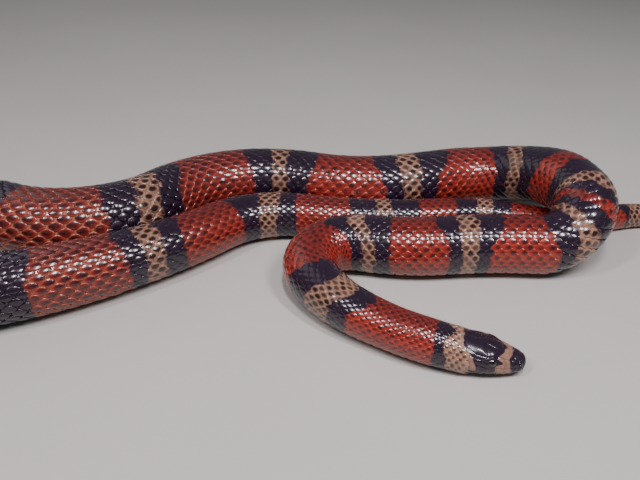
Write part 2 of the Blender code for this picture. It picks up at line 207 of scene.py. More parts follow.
# Distance from the snout, how far the skin is drawn out between the scales, most of all after a meal.
STRETCH = (
    (24, 0.0), (330, 0.08), (417, 0.22), (487, 0.50), (537, 0.92), (577, 1.0), (732, 1.0), (777, 0.7),
    (817, 0.40), (917, 0.15), (987, 0.0),
)
CLOSE_WIDTH = 0.95                # share of its room that a scale takes up where the skin is slack
STRETCHED_LENGTH, STRETCHED_WIDTH = 0.77, 0.70
OUTER_BEND_FOLLOW = 0.45          # how much of the drawing out outside a bend a scale takes up
INNER_BEND_FOLLOW = 0.85          # how much of the pushing together inside a bend it takes up
TAIL_END = 1122.5
CURL_ALONG, CURL_ROUND = (-0.05, 0.05), (0.0, 0.6)  # how far a scale follows the bend of the body
COAT_PIECES = (                   # name, distance from the snout where the piece ends
    ("scales_neck", 215.0), ("scales_front_bend", 382.0), ("scales_upper_coil", 587.0),
    ("scales_left_loop", 850.0), ("scales_tail", 1130.0),
)
NAPE_SPOTS_END = (34.0, 55.0)     # the pale nape scales have small dark tips instead of dark hearts
BORDER_FOLLOW = 0.75              # how closely a ring's border inside a scale follows the skin's
BORDER_JITTER = 0.16              # how far it may shift from scale to scale, in rows
DEEPENED, PALED = 0.80, 0.35      # how far red scales deepen on the back, and pale by the belly
DRAWN_RED, DRAWN_CREAM = 0.45, 0.20  # how far scales on drawn-out skin take on their heart's colour
SPOTS_VARY = (0.6, 1.0)
# Strength on slack skin, and how much more on drawn-out skin: edges, tips and hearts, each of the red
# and then of the cream scales.
SPOT_STRENGTHS = ((0.45, 0.30), (0.25, 0.0), (1.0, 0.0), (1.0, 0.0), (0.15, 1.60), (1.15, 0.90))
EDGE_FADE, NAPE_HEART_FADE = 0.50, 0.85  # how much weaker edges are on the back, and hearts on the nape
TIP_FADE, HEART_FADE = 0.75, 0.80  # how much weaker tips and hearts are by the belly
SCUTE_RED, SCUTE_CREAM = 0.55, 0.60  # how far the belly's colour goes towards red and towards pale skin
SCUTE_BLACK = 1.4                 # brightness of black scutes beside black scales
SCUTE_VARIES = 0.6                # how much their shade varies beside that of scales

# ---------------------------------------------------------------- head plates
# Seams on one side of the head: points of (distance from the snout, share from crown to lip to chin).
PLATE_SEAMS = {
    "mouth": ((0.8, 1.0), (21.5, 1.0)),
    "rostral": ((1.7, 1.0), (1.3, 0.72), (1.6, 0.38), (2.4, 0.0)),
    "muzzle_midline": ((2.4, 0.0), (9.0, 0.0)),
    "internasal_back": ((5.3, 0.0), (5.1, 0.22), (4.6, 0.38)),
    "nasal_top": ((1.6, 0.38), (3.2, 0.42), (4.6, 0.38)),
    "nasal_split": ((3.0, 0.42), (2.8, 0.74)),
    "nasal_back": ((5.6, 0.46), (5.4, 0.77)),
    "loreal_top": ((4.6, 0.38), (5.6, 0.46), (8.4, 0.48), (10.4, 0.42)),
    "loreal_back": ((8.4, 0.48), (8.2, 0.80)),
    "frontal_front": ((9.0, 0.0), (8.8, 0.17), (9.4, 0.30), (10.4, 0.42), (11.4, 0.52)),
    "frontal_side": ((8.8, 0.17), (12.0, 0.20), (15.2, 0.14), (16.6, 0.0)),
    "supraocular_back": ((15.2, 0.14), (15.2, 0.32), (14.8, 0.52)),
    "parietal_midline": ((16.6, 0.0), (24.2, 0.0)),
    "parietal_side": ((14.8, 0.52), (16.6, 0.52), (19.6, 0.50), (22.4, 0.36), (24.0, 0.15), (24.2, 0.0)),
    "postocular_back": ((14.8, 0.52), (16.8, 0.64), (16.2, 0.80)),
    "postocular_split": ((14.6, 0.67), (16.8, 0.64)),
    "temporal_split": ((16.8, 0.64), (19.8, 0.62), (22.6, 0.60)),
    "temporal_back": ((19.6, 0.50), (19.8, 0.62), (20.0, 0.76)),
    "nape_edge": ((22.4, 0.36), (22.6, 0.60), (23.4, 0.78), (24.6, 0.95)),
    "labial_top_front": ((1.3, 0.72), (3.6, 0.75), (6.0, 0.78), (9.0, 0.81), (11.5, 0.82)),
    "labial_top_back": ((14.5, 0.82), (17.6, 0.78), (20.4, 0.75), (23.4, 0.78)),
    "infralabial_edge": ((1.4, 1.5), (4.0, 1.44), (8.0, 1.38), (12.0, 1.34), (17.0, 1.32), (23.0, 1.24)),
    "chin_midline": ((1.8, 2.0), (16.2, 2.0)),
    "chin_shield_back": ((9.2, 1.36), (9.6, 1.7), (9.4, 2.0)),
    "throat_edge": ((15.8, 1.32), (16.8, 1.7), (16.2, 2.0)),
    "mental": ((0.7, 1.1), (1.4, 1.5), (2.0, 2.0)),
}
UPPER_LABIALS = (3.6, 5.9, 8.5, 11.3, 14.3, 17.7, 21.3)
LOWER_LABIALS = (2.9, 4.8, 7.0, 9.5, 12.4, 15.4, 18.4, 21.4)
UPPER_LABIAL_SPAN = (0.79, 1.0)
LOWER_LABIAL_SPAN = (1.0, 1.36)
SEAM_SAMPLE = 0.10                # distance between the points that a seam is measured to
SEAM_SHARE_LENGTH = 12.0          # most that the way from crown to lip, or lip to chin, can be
SEAM_DEPTH = 0.17
SEAM_WIDTH = 0.15
PLATE_CROWN = 0.22                # how far the middle of a plate swells
PLATE_CROWN_REACH = 1.3
PLATES_FADE = (24.0, 26.5)        # seams and swells end between these distances from the snout
EYE_RADIUS = 2.0
EYE_SEGMENTS, EYE_RINGS = 48, 32
SOCKET_ROOM = 0.05
SOCKET_GAP = 0.12                 # how far behind the eyeball the skin lies at the edge of the socket
SOCKET_DEEPER = 0.55              # and how much further behind its middle
SOCKET_BEHIND = 0.5               # how far behind the eye's middle the skin still gives way
SOCKET_AROUND = 1.6               # how far round the eye its rim may reach
RIM_HEIGHT, RIM_PLACE, RIM_WIDTH = 0.16, 0.38, 0.34
# width of the painted shade in the crease round the eye
CREASE_SHADE_WIDTH = 0.16
NOSTRIL_RADIUS = 0.42
NOSTRIL_DEPTH = 0.75
NOSTRIL_RIM_HEIGHT, NOSTRIL_RIM_PLACE, NOSTRIL_RIM_WIDTH = 0.07, 0.63, 0.22

# ---------------------------------------------------------------- fineness of the skin
TIP_RINGS = 26
TIP_LENGTH = 3.0
HEAD_RING_STEP, HEAD_RINGS_END = 0.22, 36.0
NECK_RING_STEP, NECK_RINGS_END = 0.5, 44.0
BODY_RING_STEP = 2.2
TAIL_RINGS = 8
HEAD_SIDES, NECK_SIDES, BODY_SIDES = 256, 128, 64
ABOVE_LIP_SHARE = 84 / 128
EVEN_ROWS = (26.0, 40.0)          # rows that follow the lip become evenly spread between these distances
UNWRAP_ROWS = 3                   # the body is unwrapped as this many strips, one above another
UNWRAP_MARGIN = 0.01
PATCH = 0.003                     # size of one scale's patch on that unwrap


# ---------------------------------------------------------------- reading tables
def smoothstep(low, high, value):
    """0 at low, 1 at high, and an even ease between them."""
    share = np.clip((value - low) / (high - low), 0.0, 1.0)
    return share * share * (3.0 - 2.0 * share)


def hump(value, middle, width):
    """1 at the middle, and an even fall to 0 on both sides."""
    return np.exp(-(((value - middle) / width) ** 2))


def blend(first, second, share):
    """A share of the way from the first to the second."""
    return first + (second - first) * share


def smooth_table(rows, at, column=1):
    """Read a table of (place, value, ...) rows along a smooth curve that never overshoots."""
    place = np.array([row[0] for row in rows], float)
    value = np.array([row[column] for row in rows], float)
    step = np.diff(place)
    rise = np.diff(value) / step
    slope = np.zeros(len(place))
    same_way = rise[:-1] * rise[1:] > 0
    before, after = rise[:-1][same_way], rise[1:][same_way]
    slope[1:-1][same_way] = 2.0 * before * after / (before + after)
    slope[0], slope[-1] = rise[0], rise[-1]
    at = np.clip(np.asarray(at, float), place[0], place[-1])
    index = np.clip(np.searchsorted(place, at, side="right") - 1, 0, len(step) - 1)
    share = (at - place[index]) / step[index]
    start_weight = 2 * share**3 - 3 * share**2 + 1
    end_weight = 1 - start_weight
    start_pull = (share**3 - 2 * share**2 + share) * step[index]
    end_pull = (share**3 - share**2) * step[index]
    return (start_weight * value[index] + end_weight * value[index + 1]
            + start_pull * slope[index] + end_pull * slope[index + 1])


def straight_table(rows, at):
    """Read a table of (place, value) rows along straight lines."""
    return np.interp(at, [row[0] for row in rows], [row[1] for row in rows])


# ---------------------------------------------------------------- the body's form
def build_route():
    """Distance, x, y and heading in radians of the points of the route."""
    lengths = np.array([length for length, _ in ROUTE], float)
    turns = np.radians([turn for _, turn in ROUTE])
    distance = np.arange(0.0, lengths.sum() + ROUTE_STEP / 2, ROUTE_STEP)
    edges = np.concatenate([[0.0], np.cumsum(lengths)])
    turned = np.concatenate([[0.0], np.cumsum(turns)])
    half_steps = np.concatenate([distance - ROUTE_STEP / 2, [distance[-1] + ROUTE_STEP / 2]])
    bend = np.diff(np.interp(half_steps, edges, turned)) / ROUTE_STEP
    reach = int(4 * BEND_BLEND / ROUTE_STEP)
    kernel = np.exp(-0.5 * (np.arange(-reach, reach + 1) * ROUTE_STEP / BEND_BLEND) ** 2)
    bend = np.convolve(np.pad(bend, reach, mode="edge"), kernel / kernel.sum(), mode="valid")
    heading = math.radians(SNOUT_HEADING) + np.concatenate(
        [[0.0], np.cumsum((bend[1:] + bend[:-1]) / 2 * ROUTE_STEP)])
    middle = (heading[1:] + heading[:-1]) / 2
    x = SNOUT_XY[0] + np.concatenate([[0.0], np.cumsum(np.cos(middle) * ROUTE_STEP)])
    y = SNOUT_XY[1] + np.concatenate([[0.0], np.cumsum(np.sin(middle) * ROUTE_STEP)])
    return distance, x, y, heading


ROUTE_POINTS = build_route()
BODY_LENGTH = float(ROUTE_POINTS[0][-1])


def place_on_route(distance):
    """Points of the route, the way on and the way across at each distance from the snout."""
    distances, x, y, heading = ROUTE_POINTS
    distance = np.asarray(distance, float)
    angle = np.interp(distance, distances, heading)
    past_end = distance - np.clip(distance, 0.0, BODY_LENGTH)
    onward = np.stack([np.cos(angle), np.sin(angle), np.zeros_like(angle)], axis=-1)
    across = np.stack([-np.sin(angle), np.cos(angle), np.zeros_like(angle)], axis=-1)
    flat = np.stack([np.interp(distance, distances, x), np.interp(distance, distances, y),
                     np.zeros_like(angle)], axis=-1)
    return flat + onward * past_end[..., None], onward, across


def route_bend(distance):
    """How sharply the route turns left, in radians for each millimetre."""
    distances, _, _, heading = ROUTE_POINTS
    return np.interp(distance, distances, np.gradient(heading, ROUTE_STEP))


def belly_lift(distance):
    """Height of the belly above the floor."""
    rise = smoothstep(LIFT_STARTS, LIFT_FULL, distance)
    fall = 1.0 - smoothstep(LIFT_EASES, LIFT_ENDS, distance)
    return CROSSING_LIFT * rise * fall


def belly_profile(angle):
    """Side and height of the body's section, in radii."""
    height = np.cos(angle)
    upper = WIDEST_RATIO + CROWN_RATIO * height
    lower = np.maximum(WIDEST_RATIO + BELLY_RATIO * height, 0.0)
    return np.sin(angle), np.where(height > 0, upper, lower)


def head_levels(distance):
    """Half width, crown, chin and cheek level of the head at each distance from the snout."""
    half_width, crown, chin = (smooth_table(HEAD_FORM, distance, column) for column in (1, 2, 3))
    return half_width, crown, chin, chin + HEAD_WIDEST * (crown - chin)


def lip_angle(distance):
    """The angle round the section at which the mouth line runs."""
    _, _, chin, cheek = head_levels(distance)
    line = smooth_table(MOUTH_LINE, distance)
    below = np.clip((cheek - line) / (cheek - chin), *LIP_KEPT_WITHIN)
    return math.pi - np.arccos(below ** (1.0 / CHIN_SQUARENESS))


def head_section(distance, angle):
    """Side and height of head points, before the features are added."""
    half_width, crown, chin, cheek = head_levels(distance)
    height = np.cos(angle)
    over = cheek + (crown - cheek) * np.abs(height) ** CROWN_SQUARENESS
    under = cheek - (cheek - chin) * np.abs(height) ** CHIN_SQUARENESS
    return half_width * np.abs(np.sin(angle)), np.where(height > 0, over, under)


def front_section(distance, angle):
    """The head's section with its lips and brow, easing into the neck's."""
    side, height = head_section(distance, angle)
    lip = lip_angle(distance)
    mouth = 1.0 - smoothstep(MOUTH_CORNER - MOUTH_FADE, MOUTH_CORNER, distance)
    middle = head_levels(distance)[3]
    reach = np.hypot(side, height - middle) + TINY
    groove = -MOUTH_DEPTH * hump(angle, lip, GROOVE_SHARE * LIP_HALF_GAP)
    swell = LIP_SWELL * hump(angle, lip - LIP_SWELL_OVER, LIP_SWELL_REACH)
    inset = -JAW_INSET * smoothstep(0.0, JAW_EDGE, angle - lip)
    inset = inset * smoothstep(math.pi, math.pi - JAW_FLOOR, angle)
    opened = smoothstep(*MOUTH_STARTS, distance)
    formed = smoothstep(*LIPS_START, distance)
    move = mouth * (groove * opened + (swell + inset) * formed)
    along = hump(distance, EYE_FROM_SNOUT, BROW_REACH)
    over = hump(height, EYE_HEIGHT + BROW_OVER_EYE, BROW_HEIGHT)
    move = move + BROW_SWELL * along * over
    grown = 1.0 + move / reach
    side, height = side * grown, middle + (height - middle) * grown
    radius = smooth_table(GIRTH, distance)
    neck_side, neck_height = belly_profile(angle)
    share = smoothstep(*NECK_BLEND, distance)
    height = blend(height, radius * neck_height, share)
    return blend(side, radius * neck_side, share), np.maximum(height, 0.0)


def outer_form(distance, angle):
    """Points on the outside of the body; angle runs from the back, to the right where it is above 0."""
    distance, angle = np.broadcast_arrays(np.asarray(distance, float), np.asarray(angle, float))
    folded = np.abs((angle + math.pi) % (2.0 * math.pi) - math.pi)
    right = np.where((angle + math.pi) % (2.0 * math.pi) >= math.pi, 1.0, -1.0)
    point, _, across = place_on_route(distance)
    side, height = front_section(np.clip(distance, 0.0, BODY_LENGTH), folded)
    points = point + across * (np.abs(side) * right)[..., None]
    points[..., 2] = height + belly_lift(distance)
    return points


FRAME_REACH, FRAME_TURN = 0.4, 0.03  # how far off, along and round, the form is compared
BROAD_REACH, BROAD_TURN = 1.0, 0.1   # the same for the way that an eye looks


def unit(vectors):
    """The same directions, one long."""
    return vectors / np.maximum(np.linalg.norm(vectors, axis=-1, keepdims=True), TINY)


def surface_frame(distance, angle, reach=FRAME_REACH, turn=FRAME_TURN):
    """The outer point at each place, its ways along, round and out, and the curl of the form there.

    curl holds the half curvature along and round the body, both taken as bending inwards.
    """
    here = outer_form(distance, angle)
    ahead, behind = outer_form(distance + reach, angle), outer_form(distance - reach, angle)
    right, left = outer_form(distance, angle + turn), outer_form(distance, angle - turn)
    along, around = ahead - behind, right - left
    out = unit(np.cross(along, around))
    around_way = unit(around)
    along_way = unit(np.cross(around_way, out))
    fold_along = -np.sum((ahead + behind - 2 * here) * out, axis=-1)
    fold_round = -np.sum((right + left - 2 * here) * out, axis=-1)
    curl_along = fold_along / np.maximum(np.sum(along**2, axis=-1) / 4, TINY) / 2
    curl_round = fold_round / np.maximum(np.sum(around**2, axis=-1) / 4, TINY) / 2
    stretch_along = np.linalg.norm(along, axis=-1) / (2 * reach)
    stretch_round = np.linalg.norm(around, axis=-1) / (2 * turn)
    return here, along_way, around_way, out, curl_along, curl_round, stretch_along, stretch_round


def coat_depth(distance):
    """How far the skin lies under the outside of the scales."""
    return COAT_SHARE * smooth_table(GIRTH, distance) * smoothstep(*COAT_STARTS, distance)


def chart_share(distance, angle):
    """Where an angle lies on the head: 0 at the crown, 1 at the lip and 2 at the chin."""
    lip = lip_angle(distance)
    angle = np.abs(angle)
    return np.where(angle < lip, angle / lip, 1.0 + (angle - lip) / (math.pi - lip))


def chart_angle(distance, share):
    """The angle round the head of a share from the crown to the lip and the chin."""
    lip = lip_angle(distance)
    return np.where(share < 1.0, share * lip, lip + (share - 1.0) * (math.pi - lip))


def side_of_head(distance, height, side):
    """A point on the side of the head at one height, and the way out of the head there."""
    first_angle, samples = 0.25, 400
    angles = np.linspace(first_angle, float(lip_angle(distance)), samples)
    heights = outer_form(distance, angles)[:, 2]
    angle = angles[int(np.argmin(np.abs(heights - height)))] * side
    here, _, _, out, *_ = surface_frame(np.array([distance]), np.array([angle]), BROAD_REACH, BROAD_TURN)
    return here[0], out[0]


def eye_place(side):
    """Centre of the eyeball, and the way it looks."""
    surface, out = side_of_head(EYE_FROM_SNOUT, EYE_HEIGHT, side)
    return surface - out * EYE_SUNK, out


# ---------------------------------------------------------------- markings
def ring_starts():
    """Places on the back and on the flank where the colour changes, and the colour that starts there."""
    back, flank, kinds = [NAPE_BLACK_ENDS], [NAPE_BLACK_ENDS], [RED]
    for on_back, on_flank in RINGS:
        back += on_back
        flank += on_flank
        kinds += [BLACK, CREAM, BLACK, RED]
    back.append(TAIL_TIP_BLACK)
    flank.append(TAIL_TIP_BLACK)
    kinds.append(BLACK)
    return np.array(back), np.array(flank), np.array(kinds)


RING_ON_BACK, RING_ON_FLANK, RING_KINDS = ring_starts()


def body_kind(distance, angle):
    """Red, black or cream at each place on the body behind the nape."""
    down = smoothstep(0.0, math.radians(FLANK_READ_AT), np.abs(angle))
    starts = blend(RING_ON_BACK, RING_ON_FLANK, down[..., None])
    passed = np.sum(distance[..., None] >= starts, axis=-1)
    return RING_KINDS[np.maximum(passed - 1, 0)]


def angle_step(span, angle):
    """0 to 1 over a span of degrees from the back, the same on both sides."""
    return smoothstep(*np.radians(span), np.abs(angle))


def inside_span(value, low, high):
    """How far each value lies inside a span, below 0 where it is outside."""
    return np.minimum(value - low, high - value)


def cream_depth(distance, angle):
    """How far inside the cream of the head and nape each place lies, below 0 in the black."""
    share = chart_share(distance, angle)
    waves = [height * np.sin(count * share + start + shift * np.sign(angle))
             for height, count, start, shift in BORDER_WAVES]
    place = distance + sum(waves)
    depth = np.maximum(
        inside_span(place, straight_table(SNOUT_BLACK, share), straight_table(SNOUT_CREAM, share)),
        inside_span(place, straight_table(BLACK_CAP, share), straight_table(CREAM_COLLAR, share)))
    for span in LOWER_LIP_BLACK:
        on_lip = inside_span(share, *LOWER_LIP_SHARES) * SHARE_LENGTH
        depth = np.minimum(depth, -np.minimum(inside_span(place, *span), on_lip))
    return depth


def marking(distance, angle):
    """Red, black or cream at each place on the whole animal."""
    head_kind = np.where(cream_depth(distance, angle) > 0, CREAM, BLACK)
    return np.where(distance < NAPE_BLACK_ENDS, head_kind, body_kind(distance, angle))


# ---------------------------------------------------------------- small helpers
MIX_SHARE, MIX_FIRST, MIX_SECOND, MIX_RESULT = 0, 6, 7, 2  # the sockets of a Mix node set to colours


def add_node(tree, kind, sockets=None, **settings):
    """Add a node, set its options, and fill or link its inputs."""
    made = tree.nodes.new(kind)
    for name, value in settings.items():
        setattr(made, name, value)
    for key, value in (sockets or {}).items():
        if isinstance(value, bpy.types.NodeSocket):
            tree.links.new(value, made.inputs[key])
        else:
            made.inputs[key].default_value = value
    return made


def math_node(tree, operation, first, second):
    """The output of one math node."""
    return add_node(tree, "ShaderNodeMath", {0: first, 1: second}, operation=operation).outputs[0]


def product(tree, first, *others):
    """Several values multiplied."""
    for other in others:
        first = math_node(tree, "MULTIPLY", first, other)
    return first


def vector_math(tree, operation, *values, **named):
    """The output of one vector math node."""
    made = add_node(tree, "ShaderNodeVectorMath", dict(enumerate(values)) | named, operation=operation)
    return made.outputs["Value" if operation in ("LENGTH", "DOT_PRODUCT") else "Vector"]


def split_vector(tree, vector):
    """The three parts of a vector."""
    return add_node(tree, "ShaderNodeSeparateXYZ", {0: vector}).outputs


def new_material(name):
    """An empty material with its tree, its Principled shader and its object coordinates."""
    material = bpy.data.materials.new(name)
    material.use_nodes = True
    tree = material.node_tree
    shader = tree.nodes["Principled BSDF"]
    place = add_node(tree, "ShaderNodeTexCoord").outputs["Object"]
    return material, tree, shader, place


def noise(tree, place, scale):
    """The factor of a noise texture."""
    sockets = {"Vector": place, "Scale": scale, "Detail": NOISE_DETAIL}
    return add_node(tree, "ShaderNodeTexNoise", sockets).outputs["Fac"]


def remap(tree, value, low, high, to_low=0.0, to_high=1.0, smooth=False):
    """Stretch a value from one range to another."""
    sockets = {"Value": value, "From Min": low, "From Max": high, "To Min": to_low, "To Max": to_high}
    kind = "SMOOTHSTEP" if smooth else "LINEAR"
    return add_node(tree, "ShaderNodeMapRange", sockets, interpolation_type=kind).outputs["Result"]


def mix_colour(tree, share, first, second, mode="MIX"):
    """The result of a colour mix."""
    sockets = {MIX_SHARE: share, MIX_FIRST: first, MIX_SECOND: second}
    made = add_node(tree, "ShaderNodeMix", sockets, data_type="RGBA", blend_type=mode)
    return made.outputs[MIX_RESULT]


def mottled(tree, place, tone, scale, darkest, brightest):
    """A colour that is a little darker or brighter from place to place."""
    shade = remap(tree, noise(tree, place, scale), *NOISE_SPAN, darkest, brightest)
    return mix_colour(tree, 1.0, tone, shade, "MULTIPLY")


def attribute(tree, name):
    """The outputs of an attribute of the mesh."""
    return add_node(tree, "ShaderNodeAttribute", attribute_name=name).outputs


def opaque(tone):
    """A colour with its alpha."""
    return (*tone, 1.0)


def new_object(name, mesh):
    """Link a mesh to the scene as an object at the origin."""
    made = bpy.data.objects.new(name, mesh)
    bpy.context.scene.collection.objects.link(made)
    return made


def mesh_from(name, points, faces):
    """A smooth-shaded mesh from points in metres."""
    mesh = bpy.data.meshes.new(name)
    mesh.from_pydata(np.asarray(points).tolist(), [], faces)
    mesh.update()
    mesh.shade_smooth()
    return mesh


def lay_on_floor(mesh):
    """Press whatever would sink into the floor flat against it, still layer over layer."""
    places = np.empty(len(mesh.vertices) * 3, np.float32)
    mesh.vertices.foreach_get("co", places)
    height, ease = places[2::3], FLOOR_EASE * MM
    pressed = ease * np.exp(np.minimum(height, ease) / ease - 1.0)
    places[2::3] = np.where(height < ease, pressed, height)
    mesh.vertices.foreach_set("co", places)
    mesh.update()


def store(mesh, name, kind, values):
    """Put an attribute on the points of a mesh."""
    field = {"FLOAT": "value", "FLOAT_COLOR": "color"}.get(kind, "vector")
    made = mesh.attributes.new(name, kind, "POINT")
    made.data.foreach_set(field, np.ascontiguousarray(values, dtype=np.float32).ravel())


def unwrap_place(distance, angle, row=None):
    """Where a place on the body lies on the unwrap of the skin, and its strip there."""
    strip = BODY_LENGTH * (1 + UNWRAP_MARGIN) / UNWRAP_ROWS
    if row is None:
        row = np.clip(np.floor(distance / strip), 0, UNWRAP_ROWS - 1)
    turned = UNWRAP_MARGIN + (1 - 2 * UNWRAP_MARGIN) * (angle + math.pi) / (2.0 * math.pi)
    along = UNWRAP_MARGIN + (1 - 2 * UNWRAP_MARGIN) * (distance / strip - row)
    return np.stack([along, (row + turned) / UNWRAP_ROWS], axis=-1), row


# ---------------------------------------------------------------- settings
def colour(name, description, default):
    """A colour that a user may change."""
    return bpy.props.FloatVectorProperty(
        name=name, description=description, default=default, subtype="COLOR", size=3, min=0.0, max=1.0)


def factor(name, description, default, most=1.0):
    """A share that a user may change."""
    return bpy.props.FloatProperty(
        name=name, description=description, default=default, subtype="FACTOR", min=0.0, max=most)


class SnakeColours(bpy.types.PropertyGroup):
    """The colours of the markings."""

    red: colour("Red", "Red rings, at the middle of a scale", (0.300, 0.020, 0.012))
    red_heart: colour("Red Heart", "The deep middle of a red scale", (0.070, 0.009, 0.010))
    red_edge: colour("Red Edge", "The pale edge of a red scale", (0.40, 0.095, 0.055))
    red_tip: colour("Red Tip", "The dark spot at the tip of a red scale", (0.030, 0.005, 0.006))
    red_back: colour("Red on the Back", "What the red deepens to along the back", (0.105, 0.010, 0.010))
    black: colour("Black", "Black rings and the cap of the head", (0.0150, 0.0055, 0.0170))
    cream: colour("Cream", "Edges of the pale scales", (0.335, 0.175, 0.122))
    cream_heart: colour("Cream Heart", "The brown heart of a pale scale", (0.020, 0.007, 0.005))
    red_skin: colour("Skin Between Red Scales", "Skin in the red rings", (0.36, 0.105, 0.065))
    black_skin: colour("Skin Between Black Scales", "Skin in the black rings", (0.024, 0.016, 0.026))
    cream_skin: colour("Skin Between Pale Scales", "Skin in the pale rings", (0.45, 0.285, 0.21))
    belly: colour("Belly", "What the red and cream pale to under the belly", (0.30, 0.10, 0.055))
    iris: colour("Iris", "The narrow ring round the pupil", (0.012, 0.005, 0.004))
    pupil: colour("Pupil", "The pupil and the rest of the eye", (0.003, 0.003, 0.004))


class SnakeCoat(bpy.types.PropertyGroup):
    """How the scales vary and shine."""

    seed: bpy.props.IntProperty(name="Seed", description="Fixes the random draws", default=7, min=0)
    thickness: factor("Thickness", "Thickness of the scales beside their usual one", 1.0, most=2.0)
    variation: factor("Size Variation", "How much the scales differ in size", 0.05, most=0.3)
    shade_variation: factor("Shade Variation", "How much the scales differ in shade", 0.16, most=0.5)
    roughness: factor("Roughness", "Roughness of a clean scale", 0.16)
    head_roughness: factor("Head Roughness", "Roughness of the head plates", 0.20)
    polish: factor("Polish", "Weight of the clear outer layer", 0.45)


class SnakeStage(bpy.types.PropertyGroup):
    """The floor, the lights and the camera."""

    camera_place: bpy.props.FloatVectorProperty(
        name="Camera", description="Place of the camera", subtype="XYZ", unit="LENGTH", size=3,
        default=(0.0006, -0.2535, 0.171))
    camera_pitch: bpy.props.FloatProperty(
        name="Pitch", description="How far the camera looks down", subtype="ANGLE", unit="ROTATION",
        default=math.radians(32.0))
    lens: bpy.props.FloatProperty(
        name="Lens", description="Focal length on a 36 mm wide picture, in millimetres", default=36.0,
        min=10.0, max=200.0)
    floor_colour: bpy.props.FloatVectorProperty(
        name="Floor", description="Colour of the floor", subtype="COLOR", size=3, min=0.0, max=1.0,
        default=(0.47, 0.455, 0.43))
    key_power: bpy.props.FloatProperty(
        name="Key Light", description="Power of each key light", unit="POWER", default=2.8, min=0.0)
    fill_power: bpy.props.FloatProperty(
        name="Fill Light", description="Power of the fill light", unit="POWER", default=1.2, min=0.0)
    sky: bpy.props.FloatProperty(
        name="Sky", description="Strength of the light from all round", default=0.16, min=0.0)


class SnakeSettings(bpy.types.PropertyGroup):
    """Everything a user may change."""

    colours: bpy.props.PointerProperty(
        type=SnakeColours, name="Colours", description="The colours of the markings")
    coat: bpy.props.PointerProperty(
        type=SnakeCoat, name="Coat", description="How the scales vary and shine")
    stage: bpy.props.PointerProperty(
        type=SnakeStage, name="Stage", description="The floor, the lights and the camera")


# ---------------------------------------------------------------- finishes
NOISE_SPAN = (0.3, 0.7)           # what nearly all of a noise texture lies between
NOISE_MIDDLE = (0.5, 0.5, 0.5)
NOISE_DETAIL = 3.0
GRAIN_SPAN = (0.35, 0.65)
POLISH_ROUGHNESS = 0.12
MOTTLE_SCALE = 700.0              # how fine the mottling of skin and scales is, for each metre
GRAIN_SCALE = 2600.0
SKIN_MOTTLE = (0.82, 1.14)        # darkest and brightest
SCALE_MOTTLE = (0.80, 1.18)
SKIN_GRAIN = (0.12, 0.05, 0.04)   # spread of the roughness, strength of the bumps, their height
SCALE_GRAIN = (0.10, 0.10, 0.05)
# Colour and strength of the dark seams between the head plates; the same darkening is painted shade in
# the eye creases and nostril pits.
SEAM_AND_SHADE_TONE = (0.02, 0.017, 0.018)
SEAM_AND_SHADE_STRENGTH = 0.55
EDGE_SPAN = (0.62, 1.0)           # share of the way to a scale's edge over which it pales
RED_ENOUGH = (0.01, 0.05)         # how much red a scale needs for a salmon edge
GREEN_COUNTS = 2.0                # how much of its green is taken off that
WANDER_SCALE, WANDER_DETAIL = 900.0, 2.0
SPOT_WANDER = (0.30, 0.30, 0.20)  # how far the spots and edges wander along, across and outwards
# The colour of each spot, its middle on the scale, and its reach; the outward reach has no end.
SPOTS = (
    ("heart_tone", (0.03, 0.0, 0.0), (0.44, 0.38, 50.0)),
    ("tip_tone", (0.30, 0.0, 0.0), (0.36, 0.30, 50.0)),
)
SPOT_FADE = (0.35, 1.15)          # a spot fades over this share of its reach
IRIS_STARTS = (0.40, 0.46)        # radians from the middle of the pupil
IRIS_ENDS = (0.74, 0.88)
IRIS_STREAKS = (1500.0, 0.6, 1.3)  # how fine, darkest and brightest
EYE_ROUGHNESS = 0.05
EYE_WETNESS, EYE_COAT_ROUGHNESS = 1.0, 0.02
FLOOR_MOTTLE = (6.0, 0.97, 1.03)
FLOOR_ROUGHNESS = 0.75


def add_gloss(tree, shader, place, coat, roughness, grain_sizes):
    """A fine grain of roughness and bumps under a clear outer layer."""
    spread, strength, height = grain_sizes
    grain = noise(tree, place, GRAIN_SCALE)
    worn = remap(tree, grain, *GRAIN_SPAN, roughness, roughness + spread)
    tree.links.new(worn, shader.inputs["Roughness"])
    sockets = {"Height": grain, "Strength": strength, "Distance": height * MM}
    bump = add_node(tree, "ShaderNodeBump", sockets)
    tree.links.new(bump.outputs["Normal"], shader.inputs["Normal"])
    shader.inputs["Coat Weight"].default_value = coat.polish
    shader.inputs["Coat Roughness"].default_value = POLISH_ROUGHNESS


def skin_finish(settings):
    """Smooth head plates and the drawn-out skin between the scales, with dark seams and painted shade in
    the eye creases and nostril pits.
    """
    material, tree, shader, place = new_material("snake_skin")
    tone = mottled(tree, place, attribute(tree, "skin_tone")["Color"], MOTTLE_SCALE, *SKIN_MOTTLE)
    # darkens the seams between the plates, and paints shade into the eye creases and nostril pits
    seam_and_shade = product(tree, attribute(tree, "seam_and_shade")["Fac"], SEAM_AND_SHADE_STRENGTH)
    tree.links.new(mix_colour(tree, seam_and_shade, tone, opaque(SEAM_AND_SHADE_TONE)), shader.inputs["Base Color"])
    add_gloss(tree, shader, place, settings.coat, settings.coat.head_roughness, SKIN_GRAIN)
    return material


def salmon_share(tree, tone):
    """How red a scale is, so that only red scales turn salmon at their edges."""
    parts = add_node(tree, "ShaderNodeSeparateColor", {0: tone}).outputs
    redness = math_node(tree, "SUBTRACT", parts[0], product(tree, parts[1], GREEN_COUNTS))
    return remap(tree, redness, *RED_ENOUGH)


def add_spot(tree, tone, leaf, spot, middle, reach):
    """Lay a soft dark spot over the colour of a scale."""
    from_middle = vector_math(tree, "DIVIDE", vector_math(tree, "SUBTRACT", leaf, middle), reach)
    share = remap(tree, vector_math(tree, "LENGTH", from_middle), *SPOT_FADE, 1.0, 0.0, smooth=True)
    return mix_colour(tree, product(tree, share, spot["Alpha"]), tone, spot["Color"])


